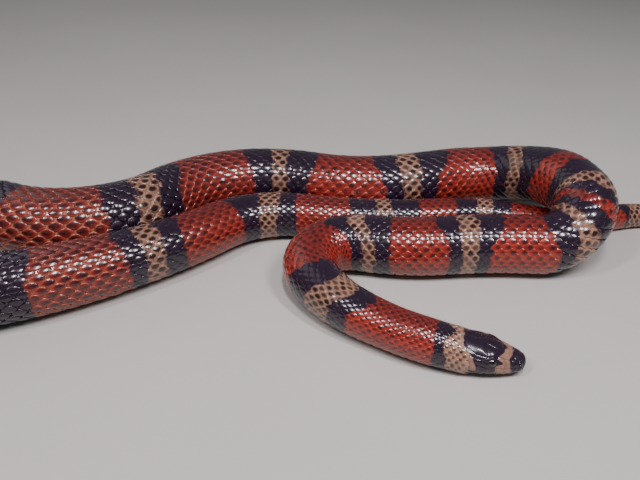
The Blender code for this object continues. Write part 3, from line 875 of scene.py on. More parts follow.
def scale_finish(settings):
    """Glossy scales: pale edges and dark tips in the red, brown hearts in the cream."""
    material, tree, shader, place = new_material("snake_scale")
    body = attribute(tree, "body_tone")
    sockets = {"Vector": place, "Scale": WANDER_SCALE, "Detail": WANDER_DETAIL}
    wander = add_node(tree, "ShaderNodeTexNoise", sockets).outputs["Color"]
    away = vector_math(tree, "SUBTRACT", wander, NOISE_MIDDLE)
    leaf = vector_math(tree, "MULTIPLY_ADD", away, SPOT_WANDER, attribute(tree, "leaf")["Vector"])
    edge = remap(tree, split_vector(tree, leaf)[2], *EDGE_SPAN, smooth=True)
    salmon = opaque(settings.colours.red_edge)
    pale = mix_colour(tree, salmon_share(tree, body["Color"]), body["Color"], salmon)
    tone = mix_colour(tree, product(tree, edge, body["Alpha"]), body["Color"], pale)
    for name, middle, reach in SPOTS:
        tone = add_spot(tree, tone, leaf, attribute(tree, name), middle, reach)
    tone = mottled(tree, place, tone, MOTTLE_SCALE, *SCALE_MOTTLE)
    tree.links.new(tone, shader.inputs["Base Color"])
    add_gloss(tree, shader, place, settings.coat, settings.coat.roughness, SCALE_GRAIN)
    return material


def eye_finish(settings):
    """A dark, wet eye with a round pupil in a narrow brown iris."""
    material, tree, shader, place = new_material("snake_eye")
    turned = attribute(tree, "from_pupil")["Fac"]
    iris = mottled(tree, place, opaque(settings.colours.iris), *IRIS_STREAKS)
    starts = remap(tree, turned, *IRIS_STARTS, smooth=True)
    ends = remap(tree, turned, *IRIS_ENDS, 1.0, 0.0, smooth=True)
    ring = product(tree, starts, ends)
    tone = mix_colour(tree, ring, opaque(settings.colours.pupil), iris)
    tree.links.new(tone, shader.inputs["Base Color"])
    shader.inputs["Roughness"].default_value = EYE_ROUGHNESS
    shader.inputs["Coat Weight"].default_value = EYE_WETNESS
    shader.inputs["Coat Roughness"].default_value = EYE_COAT_ROUGHNESS
    return material


def floor_finish(settings):
    """A pale matt floor."""
    material, tree, shader, place = new_material("stage_floor")
    tone = mottled(tree, place, opaque(settings.stage.floor_colour), *FLOOR_MOTTLE)
    tree.links.new(tone, shader.inputs["Base Color"])
    shader.inputs["Roughness"].default_value = FLOOR_ROUGHNESS
    return material


# ---------------------------------------------------------------- the skin
def ring_angles(distance, sides):
    """Angles from the back to the belly of one ring, with rows that run along the lip on the head."""
    half = sides // 2
    above = round(half * ABOVE_LIP_SHARE)
    lip = float(lip_angle(distance))
    over_lip = np.linspace(0.0, lip, above + 1)
    under_lip = np.linspace(lip, math.pi, half - above + 1)
    followed = np.concatenate([over_lip, under_lip[1:]])
    even = np.linspace(0.0, math.pi, half + 1)
    right = blend(followed, even, float(smoothstep(*EVEN_ROWS, distance)))
    return np.concatenate([right, -right[-2:0:-1]])


def skin_stations():
    """Distance from the snout and number of sides of each ring of the skin."""
    tip = TIP_LENGTH * (np.arange(1, TIP_RINGS + 1) / TIP_RINGS) ** 2
    head = np.arange(TIP_LENGTH + HEAD_RING_STEP, HEAD_RINGS_END, HEAD_RING_STEP)
    neck = np.arange(HEAD_RINGS_END, NECK_RINGS_END, NECK_RING_STEP)
    cone_starts = BODY_LENGTH - TAIL_CONE
    body = np.linspace(NECK_RINGS_END, cone_starts, int((cone_starts - NECK_RINGS_END) / BODY_RING_STEP))
    cone = np.linspace(cone_starts, BODY_LENGTH, TAIL_RINGS + 1)[1:]
    rows = [(distance, HEAD_SIDES) for distance in np.concatenate([tip, head])]
    rows += [(distance, NECK_SIDES) for distance in neck]
    rows += [(distance, BODY_SIDES) for distance in np.concatenate([body, cone])]
    return rows


def faces_between(near, far, near_count, far_count):
    """Faces from one ring of points to the next, which has as many or half as many."""
    if near_count == far_count:
        return [(near + i, far + i, far + (i + 1) % far_count, near + (i + 1) % near_count)
                for i in range(near_count)]
    faces = []
    for i in range(far_count):
        after, middle, end = (i + 1) % far_count, near + 2 * i + 1, near + (2 * i + 2) % near_count
        faces.append((near + 2 * i, far + i, middle))
        faces.append((middle, far + i, far + after, end))
    return faces


def skin_shape():
    """Points, faces, and the distance and angle of each point of the bare skin."""
    distances, angles, faces, first = [], [], [], []
    rows = skin_stations()
    count = 1
    for distance, sides in rows:
        first.append(count)
        distances.append(np.full(sides, distance))
        angles.append(ring_angles(distance, sides))
        count += sides
    for (_, near_sides), (_, far_sides), near, far in zip(rows[:-1], rows[1:], first[:-1], first[1:]):
        faces += faces_between(near, far, near_sides, far_sides)
    faces += [(0, first[0] + i, first[0] + (i + 1) % HEAD_SIDES) for i in range(HEAD_SIDES)]
    faces += [(first[-1] + i, count, first[-1] + (i + 1) % BODY_SIDES) for i in range(BODY_SIDES)]
    distance = np.concatenate([[0.0], *distances, [BODY_LENGTH]])
    angle = np.concatenate([[0.0], *angles, [0.0]])
    points, _, _, out, *_ = surface_frame(distance, angle)
    points = points - out * coat_depth(distance)[:, None]
    points = sharpen_tail(points, distance)
    snout, _, _ = place_on_route(0.0)
    points[0] = snout + (0.0, 0.0, (HEAD_FORM[0][2] + HEAD_FORM[0][3]) / 2)
    tail, onward, _ = place_on_route(BODY_LENGTH)
    points[-1] = tail + onward * TAIL_POINT[0] + (0.0, 0.0, TAIL_POINT[1])
    return points, faces, distance, angle


def sharpen_tail(points, distance):
    """Draw the last stretch of the skin in to a rounded point."""
    middle, _, _ = place_on_route(distance)
    middle[:, 2] = WIDEST_RATIO * smooth_table(GIRTH, distance) + belly_lift(distance)
    left = np.clip((BODY_LENGTH + TAIL_POINT[0] - distance) / (TAIL_CONE + TAIL_POINT[0]), 0.0, 1.0)
    return middle + (points - middle) * (left**TAIL_BLUNTNESS)[:, None]


def seam_points():
    """Points every so often along all the seams between the head plates, on both sides."""
    lines = list(PLATE_SEAMS.values())
    lines += [tuple((place, share) for share in UPPER_LABIAL_SPAN) for place in UPPER_LABIALS]
    lines += [tuple((place, share) for share in LOWER_LABIAL_SPAN) for place in LOWER_LABIALS]
    places, shares = [], []
    for line in lines:
        for (place_a, share_a), (place_b, share_b) in zip(line[:-1], line[1:]):
            length = math.hypot(place_b - place_a, SEAM_SHARE_LENGTH * (share_b - share_a))
            steps = np.linspace(0.0, 1.0, int(length / SEAM_SAMPLE) + 2)
            places.append(blend(place_a, place_b, steps))
            shares.append(blend(share_a, share_b, steps))
    place, share = np.concatenate(places), np.concatenate(shares)
    angle = chart_angle(place, share)
    return np.concatenate([outer_form(place, angle), outer_form(place, -angle)])


def nearest(points, targets):
    """How far each point is from the nearest target."""
    tree = kdtree.KDTree(len(targets))
    for index, target in enumerate(targets):
        tree.insert(target, index)
    tree.balance()
    return np.array([tree.find(point)[2] for point in points])


def add_head_relief(points, normals, distance):
    """Cut the seams, swell the plates, and sink the eyes and nostrils into the skin of the head; returns
    the dark seams with painted shade in the eye creases and nostril pits.
    """
    seam_and_shade = np.zeros(len(points))
    head = np.flatnonzero(distance < PLATES_FADE[1])
    away = nearest(points[head], seam_points())
    fade = 1.0 - smoothstep(*PLATES_FADE, distance[head])
    seam_and_shade[head] = hump(away, 0.0, SEAM_WIDTH) * fade
    swell = PLATE_CROWN * (1.0 - hump(away, 0.0, PLATE_CROWN_REACH)) * fade
    sunk = PLATE_CROWN / 2 * fade + SEAM_DEPTH * seam_and_shade[head]
    points[head] += normals[head] * (swell - sunk)[:, None]
    for side in EYE_NODES.values():
        sink_eye(points, seam_and_shade, side)
        sink_nostril(points, seam_and_shade, normals, side)
    return seam_and_shade


def sink_eye(points, seam_and_shade, side):
    """Draw the skin in behind an eye, raise a rim round it, and paint shade into the crease at the eye's
    edge.
    """
    centre, out = eye_place(side)
    local = points - centre
    level = local @ out
    away = np.linalg.norm(local - level[:, None] * out, axis=1)
    edge = math.sqrt(EYE_RADIUS**2 - EYE_SUNK**2)
    ball = np.sqrt(np.maximum((EYE_RADIUS + SOCKET_ROOM) ** 2 - away**2, 0.0))
    under = ball - SOCKET_GAP - SOCKET_DEEPER * (1.0 - away / edge)
    inside = (level > -SOCKET_BEHIND) & (away < edge)
    near = (level > 0.0) & (away < edge + SOCKET_AROUND)
    rim = RIM_HEIGHT * hump(away, edge + RIM_PLACE, RIM_WIDTH) * near * ~inside
    points += out * (rim + np.where(inside, under - level, 0.0))[:, None]
    # painted shade in the crease round the eye
    seam_and_shade[:] = np.maximum(seam_and_shade, hump(away, edge, CREASE_SHADE_WIDTH) * near)


def sink_nostril(points, seam_and_shade, normals, side):
    """Sink one nostril, with a low rim, and paint shade into its pit."""
    centre, _ = side_of_head(NOSTRIL_FROM_SNOUT, NOSTRIL_HEIGHT, side)
    away = np.linalg.norm(points - centre, axis=1)
    pit = np.exp(-((away / NOSTRIL_RADIUS) ** 4))
    rim = NOSTRIL_RIM_HEIGHT * hump(away, NOSTRIL_RIM_PLACE, NOSTRIL_RIM_WIDTH)
    points += normals * (rim - NOSTRIL_DEPTH * pit)[:, None]
    # painted shade inside the nostril's pit
    seam_and_shade[:] = np.maximum(seam_and_shade, pit)


def skin_tones(distance, angle, colours):
    """Colour of the skin at each point: polished on the head plates, paler between the scales."""
    kind = marking(distance, angle)
    slack = np.array([colours.red_skin, colours.black_skin, colours.cream_skin])[kind]
    pale_share = smoothstep(-BORDER_SOFTNESS, BORDER_SOFTNESS, cream_depth(distance, angle))
    plate = blend(np.array(colours.black), np.array(colours.cream) * PLATE_SHADE, pale_share[:, None])
    tone = blend(plate, slack, smoothstep(*BARE_SKIN, distance)[:, None])
    under = angle_step(SKIN_PALES, angle) * smoothstep(*THROAT_PALES, distance) * (kind != BLACK)
    tone = blend(tone, np.array(colours.belly), under[:, None])
    return np.column_stack([tone, np.ones(len(tone))])


def write_unwrap(mesh, distance, angle):
    """Lay each face of the skin on the unwrap, whole and in its own strip."""
    loops = np.empty(len(mesh.loops), np.int32)
    mesh.loops.foreach_get("vertex_index", loops)
    starts = np.empty(len(mesh.polygons), np.int32)
    mesh.polygons.foreach_get("loop_start", starts)
    totals = np.diff(np.append(starts, len(loops)))
    loop_angle, loop_distance = angle[loops], distance[loops]
    face_low = np.minimum.reduceat(loop_angle, starts)
    face_high = np.maximum.reduceat(loop_angle, starts)
    crosses = np.repeat((face_high - face_low) > math.pi, totals)
    loop_angle = np.where(crosses & (loop_angle > 0), loop_angle - 2 * math.pi, loop_angle)
    _, row = unwrap_place(np.minimum.reduceat(loop_distance, starts), 0.0)
    place, _ = unwrap_place(loop_distance, loop_angle, np.repeat(row, totals))
    layer = mesh.uv_layers.new(name="OFBake")
    layer.data.foreach_set("uv", np.clip(place, 0.0, 1.0).astype(np.float32).ravel())


def build_skin(settings):
    """The one skin of head, neck, body and tail."""
    points, faces, distance, angle = skin_shape()
    mesh = mesh_from("snake_skin", points * MM, faces)
    normals = np.empty(len(points) * 3)
    mesh.vertices.foreach_get("normal", normals)
    seam_and_shade = add_head_relief(points, normals.reshape(-1, 3), distance)
    mesh.vertices.foreach_set("co", (points * MM).ravel())
    lay_on_floor(mesh)
    store(mesh, "skin_tone", "FLOAT_COLOR", skin_tones(distance, angle, settings.colours))
    # dark seams of the head plates, and painted shade in the eye creases and nostril pits
    store(mesh, "seam_and_shade", "FLOAT", seam_and_shade)
    write_unwrap(mesh, distance, angle)
    mesh.materials.append(skin_finish(settings))
    skin = new_object("snake_skin", mesh)
    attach(skin, BODY)
    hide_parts(*[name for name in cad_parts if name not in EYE_NODES])
    return skin


# ---------------------------------------------------------------- scales
SCALE_SIDES, SCALE_BLUNTNESS = 12, 1.5
SCALE_FRONT, SCALE_REAR, SCALE_HALF_WIDTH = 0.68, 0.60, 0.52
SCALE_RINGS = ((0.45, 0.0), (0.80, 0.0), (1.0, 0.10), (0.97, 1.0))  # share of the outline, drop
ROOT_LEVEL, TIP_RISE = -0.25, 0.44  # height at the root, and how much the middle then rises
DOME_ALONG, DOME_ACROSS = 0.80, 0.72
RIM_PATCH = 1.18                  # how much wider the lower rim lies on a scale's patch of the unwrap
UNDERSIDE_PATCH, UNDERSIDE_AT = 0.2, (0.75, 0.0)  # the underside lies small, beside the rest


def scale_template():
    """One closed scale: a low domed plate, sunk at its root, lifted at its tip.

    Lengths are in rows along the body, widths in rows round it, heights in coat thicknesses.
    """
    turn = np.arange(SCALE_SIDES) * 2 * math.pi / SCALE_SIDES
    onward, aside = np.cos(turn), np.sin(turn)
    length = np.where(onward > 0, SCALE_REAR, SCALE_FRONT)
    shares = np.abs([onward / length, aside / SCALE_HALF_WIDTH])
    reach = np.sum(shares**SCALE_BLUNTNESS, axis=0) ** (-1 / SCALE_BLUNTNESS)
    outline = np.column_stack([onward, aside]) * reach[:, None]
    points, leaf = [(0.0, 0.0, top_of_scale(0.0, 0.0))], [(0.0, 0.0, 0.0)]
    for share, drop in SCALE_RINGS:
        for x, y in outline * share:
            points.append((x, y, top_of_scale(x / SCALE_FRONT, y / SCALE_HALF_WIDTH) - drop))
            leaf.append((x, y, share))
    faces = [(0, 1 + i, 1 + (i + 1) % SCALE_SIDES) for i in range(SCALE_SIDES)]
    for near in range(1, 1 + (len(SCALE_RINGS) - 1) * SCALE_SIDES, SCALE_SIDES):
        faces += faces_between(near, near + SCALE_SIDES, SCALE_SIDES, SCALE_SIDES)
    lower_rim = len(points) - SCALE_SIDES
    faces.append(tuple(reversed(range(lower_rim, len(points)))))
    leaf = np.array(leaf)
    patch = leaf[:, :2] / np.abs(leaf[:, :2]).max(axis=0) / 2.0
    patch[lower_rim:] *= RIM_PATCH
    template = template_object("scale_template", points, faces, leaf, patch)
    layer = template.data.uv_layers["patch"]
    for loop in template.data.polygons[-1].loop_indices:
        layer.data[loop].uv = layer.data[loop].uv * UNDERSIDE_PATCH + Vector(UNDERSIDE_AT)
    return template


def top_of_scale(onward, aside):
    """Height of the top of a scale, which rises to its tip and is curved across like a roof tile.

    Both places are shares of the way from the middle to the root and to the side.
    """
    dome = DOME_ALONG * (1.0 - onward**2) + DOME_ACROSS * (1.0 - aside**2)
    return ROOT_LEVEL + TIP_RISE * (onward + 1.0) + dome


def template_object(name, points, faces, leaf, patch):
    """A template with the place of each point on the scale, and its place on the scale's patch."""
    mesh = mesh_from(name, points, faces)
    store(mesh, "leaf", "FLOAT_VECTOR", leaf)
    loops = np.empty(len(mesh.loops), np.int32)
    mesh.loops.foreach_get("vertex_index", loops)
    layer = mesh.uv_layers.new(name="patch")
    layer.data.foreach_set("uv", np.asarray(patch)[loops].astype(np.float32).ravel())
    template = new_object(name, mesh)
    template.hide_render = True
    return template


def row_counter():
    """Distances from the snout, and the number of scale rows passed up to each."""
    distance = np.linspace(PITCH[0][0], BODY_LENGTH, ROW_SAMPLES)
    pitch = smooth_table(PITCH, distance)
    rows = np.concatenate([[0.0], np.cumsum(np.diff(distance) / ((pitch[1:] + pitch[:-1]) / 2))])
    return distance, rows


def dorsal_places():
    """Distance, angle and angular spacing of every scale of the back, flanks and throat."""
    distances, rows = row_counter()
    flank = math.radians(FLANK_ANGLE)
    most = int(max(count for _, count in ROWS) * math.pi / flank / 2) + 2
    found = []
    for row in range(-most, most + 1):
        numbers = np.arange(1, int(rows[-1])) + (0.5 if row % 2 else 0.0)
        distance = np.interp(numbers, rows, distances)
        spacing = 2 * flank / smooth_table(ROWS, distance)
        angle = row * spacing
        round_throat, to_flank = math.pi - THROAT_GAP * spacing, flank + ROW_SLIP * spacing
        cover = np.where(distance < THROAT_ENDS, round_throat, to_flank)
        first = straight_table(NAPE_EDGE, np.degrees(np.abs(angle)))
        keep = (np.abs(angle) <= cover) & (distance > first) & (distance < TAIL_END)
        found.append(np.column_stack([distance, angle, spacing])[keep])
    return np.concatenate(found)


def vary(random, count, amount):
    """Random factors near 1."""
    return 1.0 + random.uniform(-amount, amount, count)


def dorsal_sizes(distance, spacing, stretch_round, stretch_along, random, coat):
    """Length, width and thickness of each scale."""
    drawn = straight_table(STRETCH, distance)
    follow = np.where(stretch_along > 1.0, OUTER_BEND_FOLLOW, INNER_BEND_FOLLOW)
    room = 1.0 + (stretch_along - 1.0) * follow
    length = smooth_table(PITCH, distance) * room * (1 + (STRETCHED_LENGTH - 1) * drawn)
    width = 2 * spacing * stretch_round * (CLOSE_WIDTH + (STRETCHED_WIDTH - CLOSE_WIDTH) * drawn)
    thick = COAT_SHARE * smooth_table(GIRTH, distance)
    sizes = np.column_stack([length, width, thick])
    return sizes * np.column_stack([vary(random, len(sizes), coat.variation) for _ in range(3)])


def dorsal_tones(spot, leaf, draw, colours, coat):
    """Body, tip and heart colour at each point, with the strength of edge, tip and heart as alpha.

    A ring's border runs through a scale, though less steeply than over the skin.
    """
    distance, angle, spacing = spot.T
    shift = BORDER_FOLLOW * leaf[:, 0] + BORDER_JITTER * draw[:, 0]
    kind = marking(distance + smooth_table(PITCH, distance) * shift,
                   angle + BORDER_FOLLOW * 2.0 * spacing * leaf[:, 1])
    red, cream = kind == RED, kind == CREAM
    back = 1.0 - angle_step(RED_DEEPENS, angle)
    under = angle_step(BELLY_PALES, angle)
    drawn = straight_table(STRETCH, distance)
    plain = np.array([colours.red, colours.black, colours.cream])[kind]
    plain = blend(plain, np.array(colours.red_back), (DEEPENED * back * red)[:, None])
    plain = blend(plain, np.array(colours.belly), (PALED * under * red)[:, None])
    plain = plain * (1.0 + coat.shade_variation * draw[:, 1])[:, None]
    tip = np.where(cream[:, None], np.array(colours.cream_heart), np.array(colours.red_tip))
    heart = np.where(cream[:, None], np.array(colours.cream_heart), np.array(colours.red_heart))
    plain = blend(plain, heart, ((DRAWN_RED * red + DRAWN_CREAM * cream) * drawn)[:, None])
    on_nape = 1.0 - smoothstep(*NAPE_SPOTS_END, distance)
    strong = np.interp(draw[:, 2], (-1.0, 1.0), SPOTS_VARY)
    edge_red, edge_cream, tip_red, tip_cream, heart_red, heart_cream = (
        slack + more * drawn for slack, more in SPOT_STRENGTHS)
    edges = red * edge_red * (1.0 - EDGE_FADE * back) + cream * edge_cream
    tips = (red * tip_red + cream * tip_cream * on_nape) * strong * (1.0 - TIP_FADE * under)
    hearts = red * heart_red + cream * heart_cream * (1.0 - NAPE_HEART_FADE * on_nape)
    hearts = hearts * strong * (1.0 - HEART_FADE * under)
    pairs = ((plain, edges), (tip, tips), (heart, hearts))
    return [np.column_stack([tone, strength]) for tone, strength in pairs]


def euler_of(along, across, out):
    """XYZ angles of the turn that takes X, Y and Z to the three ways."""
    return np.column_stack([
        np.arctan2(across[:, 2], out[:, 2]),
        -np.arcsin(np.clip(along[:, 2], -1.0, 1.0)),
        np.arctan2(along[:, 1], along[:, 0])])


def read_points(mesh, name):
    """The values of a vector attribute of a mesh, one row for each point."""
    values = np.empty(len(mesh.vertices) * 3, np.float32)
    mesh.attributes[name].data.foreach_get("vector", values)
    return values.reshape(-1, 3).astype(float)


def rows_of(*columns):
    """Rows made of columns and of single numbers that hold for every row."""
    return np.column_stack(np.broadcast_arrays(*columns))


def guide_values(place, ways, size, curl, bake_at, spot, draw):
    """All that the node tree reads for each scale, in metres and radians."""
    along, across, out = ways
    bake, _ = unwrap_place(*bake_at)
    return {
        "place": place * MM, "turn": euler_of(along, across, out), "size": size * MM,
        "along": along, "across": across, "out": out, "curl": curl / MM,
        "bake": rows_of(*bake.T, 0.0), "spot": spot, "draw": draw,
    }


def read_attribute(tree, name):
    """The value of a vector attribute in a geometry tree."""
    made = add_node(tree, "GeometryNodeInputNamedAttribute", {"Name": name}, data_type="FLOAT_VECTOR")
    return made.outputs["Attribute"]


def coat_tree():
    """The node tree that sets a scale on every guide point and bends it to the body."""
    tree = bpy.data.node_groups.new("snake_coat", "GeometryNodeTree")
    inputs = (("Geometry", "NodeSocketGeometry"), ("Scale Shape", "NodeSocketObject"),
              ("Thickness", "NodeSocketFloat"), ("Patch Size", "NodeSocketFloat"),
              ("Finish", "NodeSocketMaterial"))
    for name, kind in inputs:
        tree.interface.new_socket(name, in_out="INPUT", socket_type=kind)
    tree.interface.new_socket("Geometry", in_out="OUTPUT", socket_type="NodeSocketGeometry")
    given = add_node(tree, "NodeGroupInput").outputs
    shape = add_node(tree, "GeometryNodeObjectInfo", {"Object": given["Scale Shape"]})
    thick = add_node(tree, "ShaderNodeCombineXYZ", {0: 1.0, 1: 1.0, 2: given["Thickness"]}).outputs[0]
    size = vector_math(tree, "MULTIPLY", read_attribute(tree, "size"), thick)
    sockets = {"Points": given["Geometry"], "Instance": shape.outputs["Geometry"], "Scale": size,
               "Rotation": read_attribute(tree, "turn")}
    placed = add_node(tree, "GeometryNodeInstanceOnPoints", sockets).outputs["Instances"]
    real = add_node(tree, "GeometryNodeRealizeInstances", {"Geometry": placed}).outputs["Geometry"]
    bent = add_node(tree, "GeometryNodeSetPosition", {"Geometry": real, "Offset": bend_offset(tree)})
    stored = store_patch(tree, bent.outputs["Geometry"], given["Patch Size"])
    done = add_node(tree, "GeometryNodeSetMaterial", {"Geometry": stored, "Material": given["Finish"]})
    add_node(tree, "NodeGroupOutput", {"Geometry": done.outputs["Geometry"]})
    return tree


def bend_offset(tree):
    """How far each point moves so that its scale follows the body's form."""
    place = add_node(tree, "GeometryNodeInputPosition").outputs[0]
    from_root = vector_math(tree, "SUBTRACT", place, read_attribute(tree, "place"))
    along_way = read_attribute(tree, "along")
    along = vector_math(tree, "DOT_PRODUCT", from_root, along_way)
    across = vector_math(tree, "DOT_PRODUCT", from_root, read_attribute(tree, "across"))
    curl_along, curl_round, fan_out = split_vector(tree, read_attribute(tree, "curl"))
    fall_along = product(tree, along, along, curl_along)
    fall_round = product(tree, across, across, curl_round)
    fall = product(tree, math_node(tree, "ADD", fall_along, fall_round), -1.0)
    sunk = vector_math(tree, "SCALE", read_attribute(tree, "out"), Scale=fall)
    spread = vector_math(tree, "SCALE", along_way, Scale=product(tree, along, across, fan_out))
    return vector_math(tree, "ADD", sunk, spread)


def store_patch(tree, geometry, patch_size):
    """Write each scale's own small patch of the unwrap."""
    patch = vector_math(tree, "SCALE", read_attribute(tree, "patch"), Scale=patch_size)
    spot = vector_math(tree, "ADD", patch, read_attribute(tree, "bake"))
    sockets = {"Geometry": geometry, "Name": "OFBake", "Value": spot}
    made = add_node(
        tree, "GeometryNodeStoreNamedAttribute", sockets, data_type="FLOAT2", domain="CORNER")
    return made.outputs["Geometry"]


def grow(name, values, tree, template, finish, tones_of, settings):
    """Set a scale on every place, keep the result as a plain mesh piece and colour its points."""
    guide = mesh_from(name, values["place"], [])
    for key, rows in values.items():
        store(guide, key, "FLOAT_VECTOR", rows)
    carrier = new_object(name + "_guide", guide)
    modifier = carrier.modifiers.new("coat", "NODES")
    modifier.node_group = tree
    inputs = {"Scale Shape": template, "Thickness": settings.coat.thickness, "Patch Size": PATCH,
              "Finish": finish}
    for item in tree.interface.items_tree:
        if item.in_out == "INPUT" and item.name in inputs:
            modifier[item.identifier] = inputs[item.name]
    graph = bpy.context.evaluated_depsgraph_get()
    mesh = bpy.data.meshes.new_from_object(carrier.evaluated_get(graph), depsgraph=graph)
    mesh.name = name
    lay_on_floor(mesh)
    carrier.modifiers.clear()
    bpy.data.objects.remove(carrier)
    bpy.data.meshes.remove(guide)
    spot, leaf, draw = (read_points(mesh, key) for key in ("spot", "leaf", "draw"))
    tones = tones_of(spot, leaf, draw, settings.colours, settings.coat)
    for key, tone in zip(("body_tone", "tip_tone", "heart_tone"), tones):
        store(mesh, key, "FLOAT_COLOR", tone)
    for key in (*values, "patch"):
        if key in mesh.attributes:
            mesh.attributes.remove(mesh.attributes[key])
    mesh.materials.clear()
    mesh.materials.append(finish)
    mesh.polygons.foreach_set("material_index", np.zeros(len(mesh.polygons), np.int32))
    piece = new_object(name, mesh)
    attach(piece, BODY)
    return piece


def build_dorsal_scales(settings, tree, finish):
    """The scales of the back, flanks, nape and throat, in a few pieces along the body."""
    random = np.random.default_rng(settings.coat.seed)
    places = dorsal_places()
    distance, angle, spacing = places.T
    here, along, around, out, curl_along, curl_round, long, wide = surface_frame(distance, angle)
    sizes = dorsal_sizes(distance, spacing, wide, long, random, settings.coat)
    draw = random.uniform(-1.0, 1.0, (len(distance), 3))
    curl = rows_of(np.clip(curl_along, *CURL_ALONG), np.clip(curl_round, *CURL_ROUND), 0.0)
    root = here - out * coat_depth(distance)[:, None]
    values = guide_values(root, (along, around, out), sizes, curl, (distance, angle), places, draw)
    template = scale_template()
    start = 0.0
    for name, end in COAT_PIECES:
        pick = (distance >= start) & (distance < end)
        start = end
        picked = {key: rows[pick] for key, rows in values.items()}
        grow(name, picked, tree, template, finish, dorsal_tones, settings)
    bpy.data.objects.remove(template)


# ---------------------------------------------------------------- belly scutes
# Each line along a scute: its place in rows, and how far inside the body's outline it lies, in radii.
SCUTE_LINES = (
    (-0.66, 0.050), (-0.20, 0.030), (0.25, 0.014), (0.52, 0.004), (0.58, 0.016), (0.56, 0.050),
)
SCUTE_COLUMNS = 15
SCUTE_OVERLAP = 3.0               # degrees by which the scutes reach up under the scales
SCUTE_PATCH, SCUTE_INNER_PATCH = 0.8, 1.3
SCUTE_BAKE_AT = 0.97              # where on the unwrap the scutes lie, as a share of half the way round


def scute_template(name, from_share, to_share):
    """One closed scute that wraps the belly; shares run from -1 at the left edge to 1 at the right."""
    reach = math.pi - math.radians(FLANK_ANGLE - SCUTE_OVERLAP)
    turns = math.pi - np.linspace(from_share, to_share, SCUTE_COLUMNS) * reach
    side, height = belly_profile(turns)
    inwards = unit(np.column_stack([-np.gradient(height), np.gradient(side)]))
    points, leaf, patch = [], [], []
    for line, (x, inset) in enumerate(SCUTE_LINES):
        wide = SCUTE_INNER_PATCH if line in (0, len(SCUTE_LINES) - 1) else 1.0
        points += [(x, *place) for place in np.column_stack([side, height]) + inwards * inset]
        leaf += [(x, across, 0.0) for across in side / 2]
        patch += [(x * SCUTE_PATCH, across * wide) for across in side / 2]
    starts = range(0, len(points), SCUTE_COLUMNS)
    faces = []
    for near, far in zip(starts, (*starts[1:], starts[0])):
        faces += [(near + i, near + i + 1, far + i + 1, far + i) for i in range(SCUTE_COLUMNS - 1)]
    faces.append(tuple(starts))
    faces.append(tuple(start + SCUTE_COLUMNS - 1 for start in reversed(starts)))
    return template_object(name, points, faces, leaf, patch)


def scute_tones(spot, _, draw, colours, coat):
    """Body, tip and heart colour at each point of the scutes."""
    kind = marking(spot[:, 0], np.full(len(spot), math.pi))
    belly = np.array(colours.belly)
    kinds = np.array([
        blend(belly, np.array(colours.red), SCUTE_RED), np.array(colours.black) * SCUTE_BLACK,
        blend(belly, np.array(colours.cream_skin), SCUTE_CREAM)])
    body = kinds[kind] * (1.0 + SCUTE_VARIES * coat.shade_variation * draw[:, 1])[:, None]
    return [rows_of(*body.T, strength) for strength in (1.0, 0.0, 0.0)]


def build_belly_scutes(settings, tree, finish):
    """The broad scutes under the body and the paired ones under the tail."""
    random = np.random.default_rng(settings.coat.seed + 1)
    distances, rows = row_counter()
    first_row = int(np.interp(THROAT_ENDS, distances, rows)) + 1
    numbers = np.arange(first_row, int(rows[-1]))
    under_tail = np.interp(numbers, rows, distances) >= VENT
    kinds = (
        ("belly_scutes", (-1.0, 1.0), numbers[~under_tail]),
        ("tail_scutes_right", (0.0, 1.0), numbers[under_tail]),
        ("tail_scutes_left", (-1.0, 0.0), numbers[under_tail] + 0.5),
    )
    for name, (from_share, to_share), chosen in kinds:
        distance = np.interp(chosen, rows, distances)
        distance = distance[distance < TAIL_END]
        place, along, across = place_on_route(distance)
        place = place + rows_of(0.0, 0.0, belly_lift(distance))
        slope = (belly_lift(distance + 1.0) - belly_lift(distance - 1.0)) / 2.0
        along = unit(along + rows_of(0.0, 0.0, slope))
        up = unit(np.cross(along, across))
        radius = smooth_table(GIRTH, distance)
        sizes = rows_of(smooth_table(PITCH, distance), radius, radius)
        curl = rows_of(0.0, 0.0, -route_bend(distance))
        bake_at = (distance, math.pi * (SCUTE_BAKE_AT if to_share else -SCUTE_BAKE_AT))
        draw = random.uniform(-1.0, 1.0, (len(distance), 3))
        spot = rows_of(distance, 0.0, 0.0)
        values = guide_values(place, (along, across, up), sizes, curl, bake_at, spot, draw)
        template = scute_template(name + "_template", from_share, to_share)
        grow(name, values, tree, template, finish, scute_tones, settings)
        bpy.data.objects.remove(template)


# ---------------------------------------------------------------- eyes
def build_eye(node, side, finish):
    """One round eye that looks out of its socket."""
    centre, out = (Vector(vector) for vector in eye_place(side))
    turn = out.to_track_quat("Z", "Y").to_matrix().to_4x4()
    ball = bmesh.new()
    bmesh.ops.create_uvsphere(
        ball, u_segments=EYE_SEGMENTS, v_segments=EYE_RINGS, radius=EYE_RADIUS * MM)
    from_pupil = [point.co.angle((0.0, 0.0, 1.0)) for point in ball.verts]
    ball.transform(Matrix.Translation(centre * MM) @ turn)
    mesh = bpy.data.meshes.new(node + "_ball")
    ball.to_mesh(mesh)
    ball.free()
    mesh.shade_smooth()
    store(mesh, "from_pupil", "FLOAT", from_pupil)
    mesh.materials.append(finish)
    eye = new_object(node + "_ball", mesh)
    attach(eye, BODY)
    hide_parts(node)
    return eye


# ---------------------------------------------------------------- stage
FLOOR_HALF, FLOOR_LEVEL = 4.0, -0.0001
SKY_COLOUR = (0.90, 0.94, 1.0, 1.0)
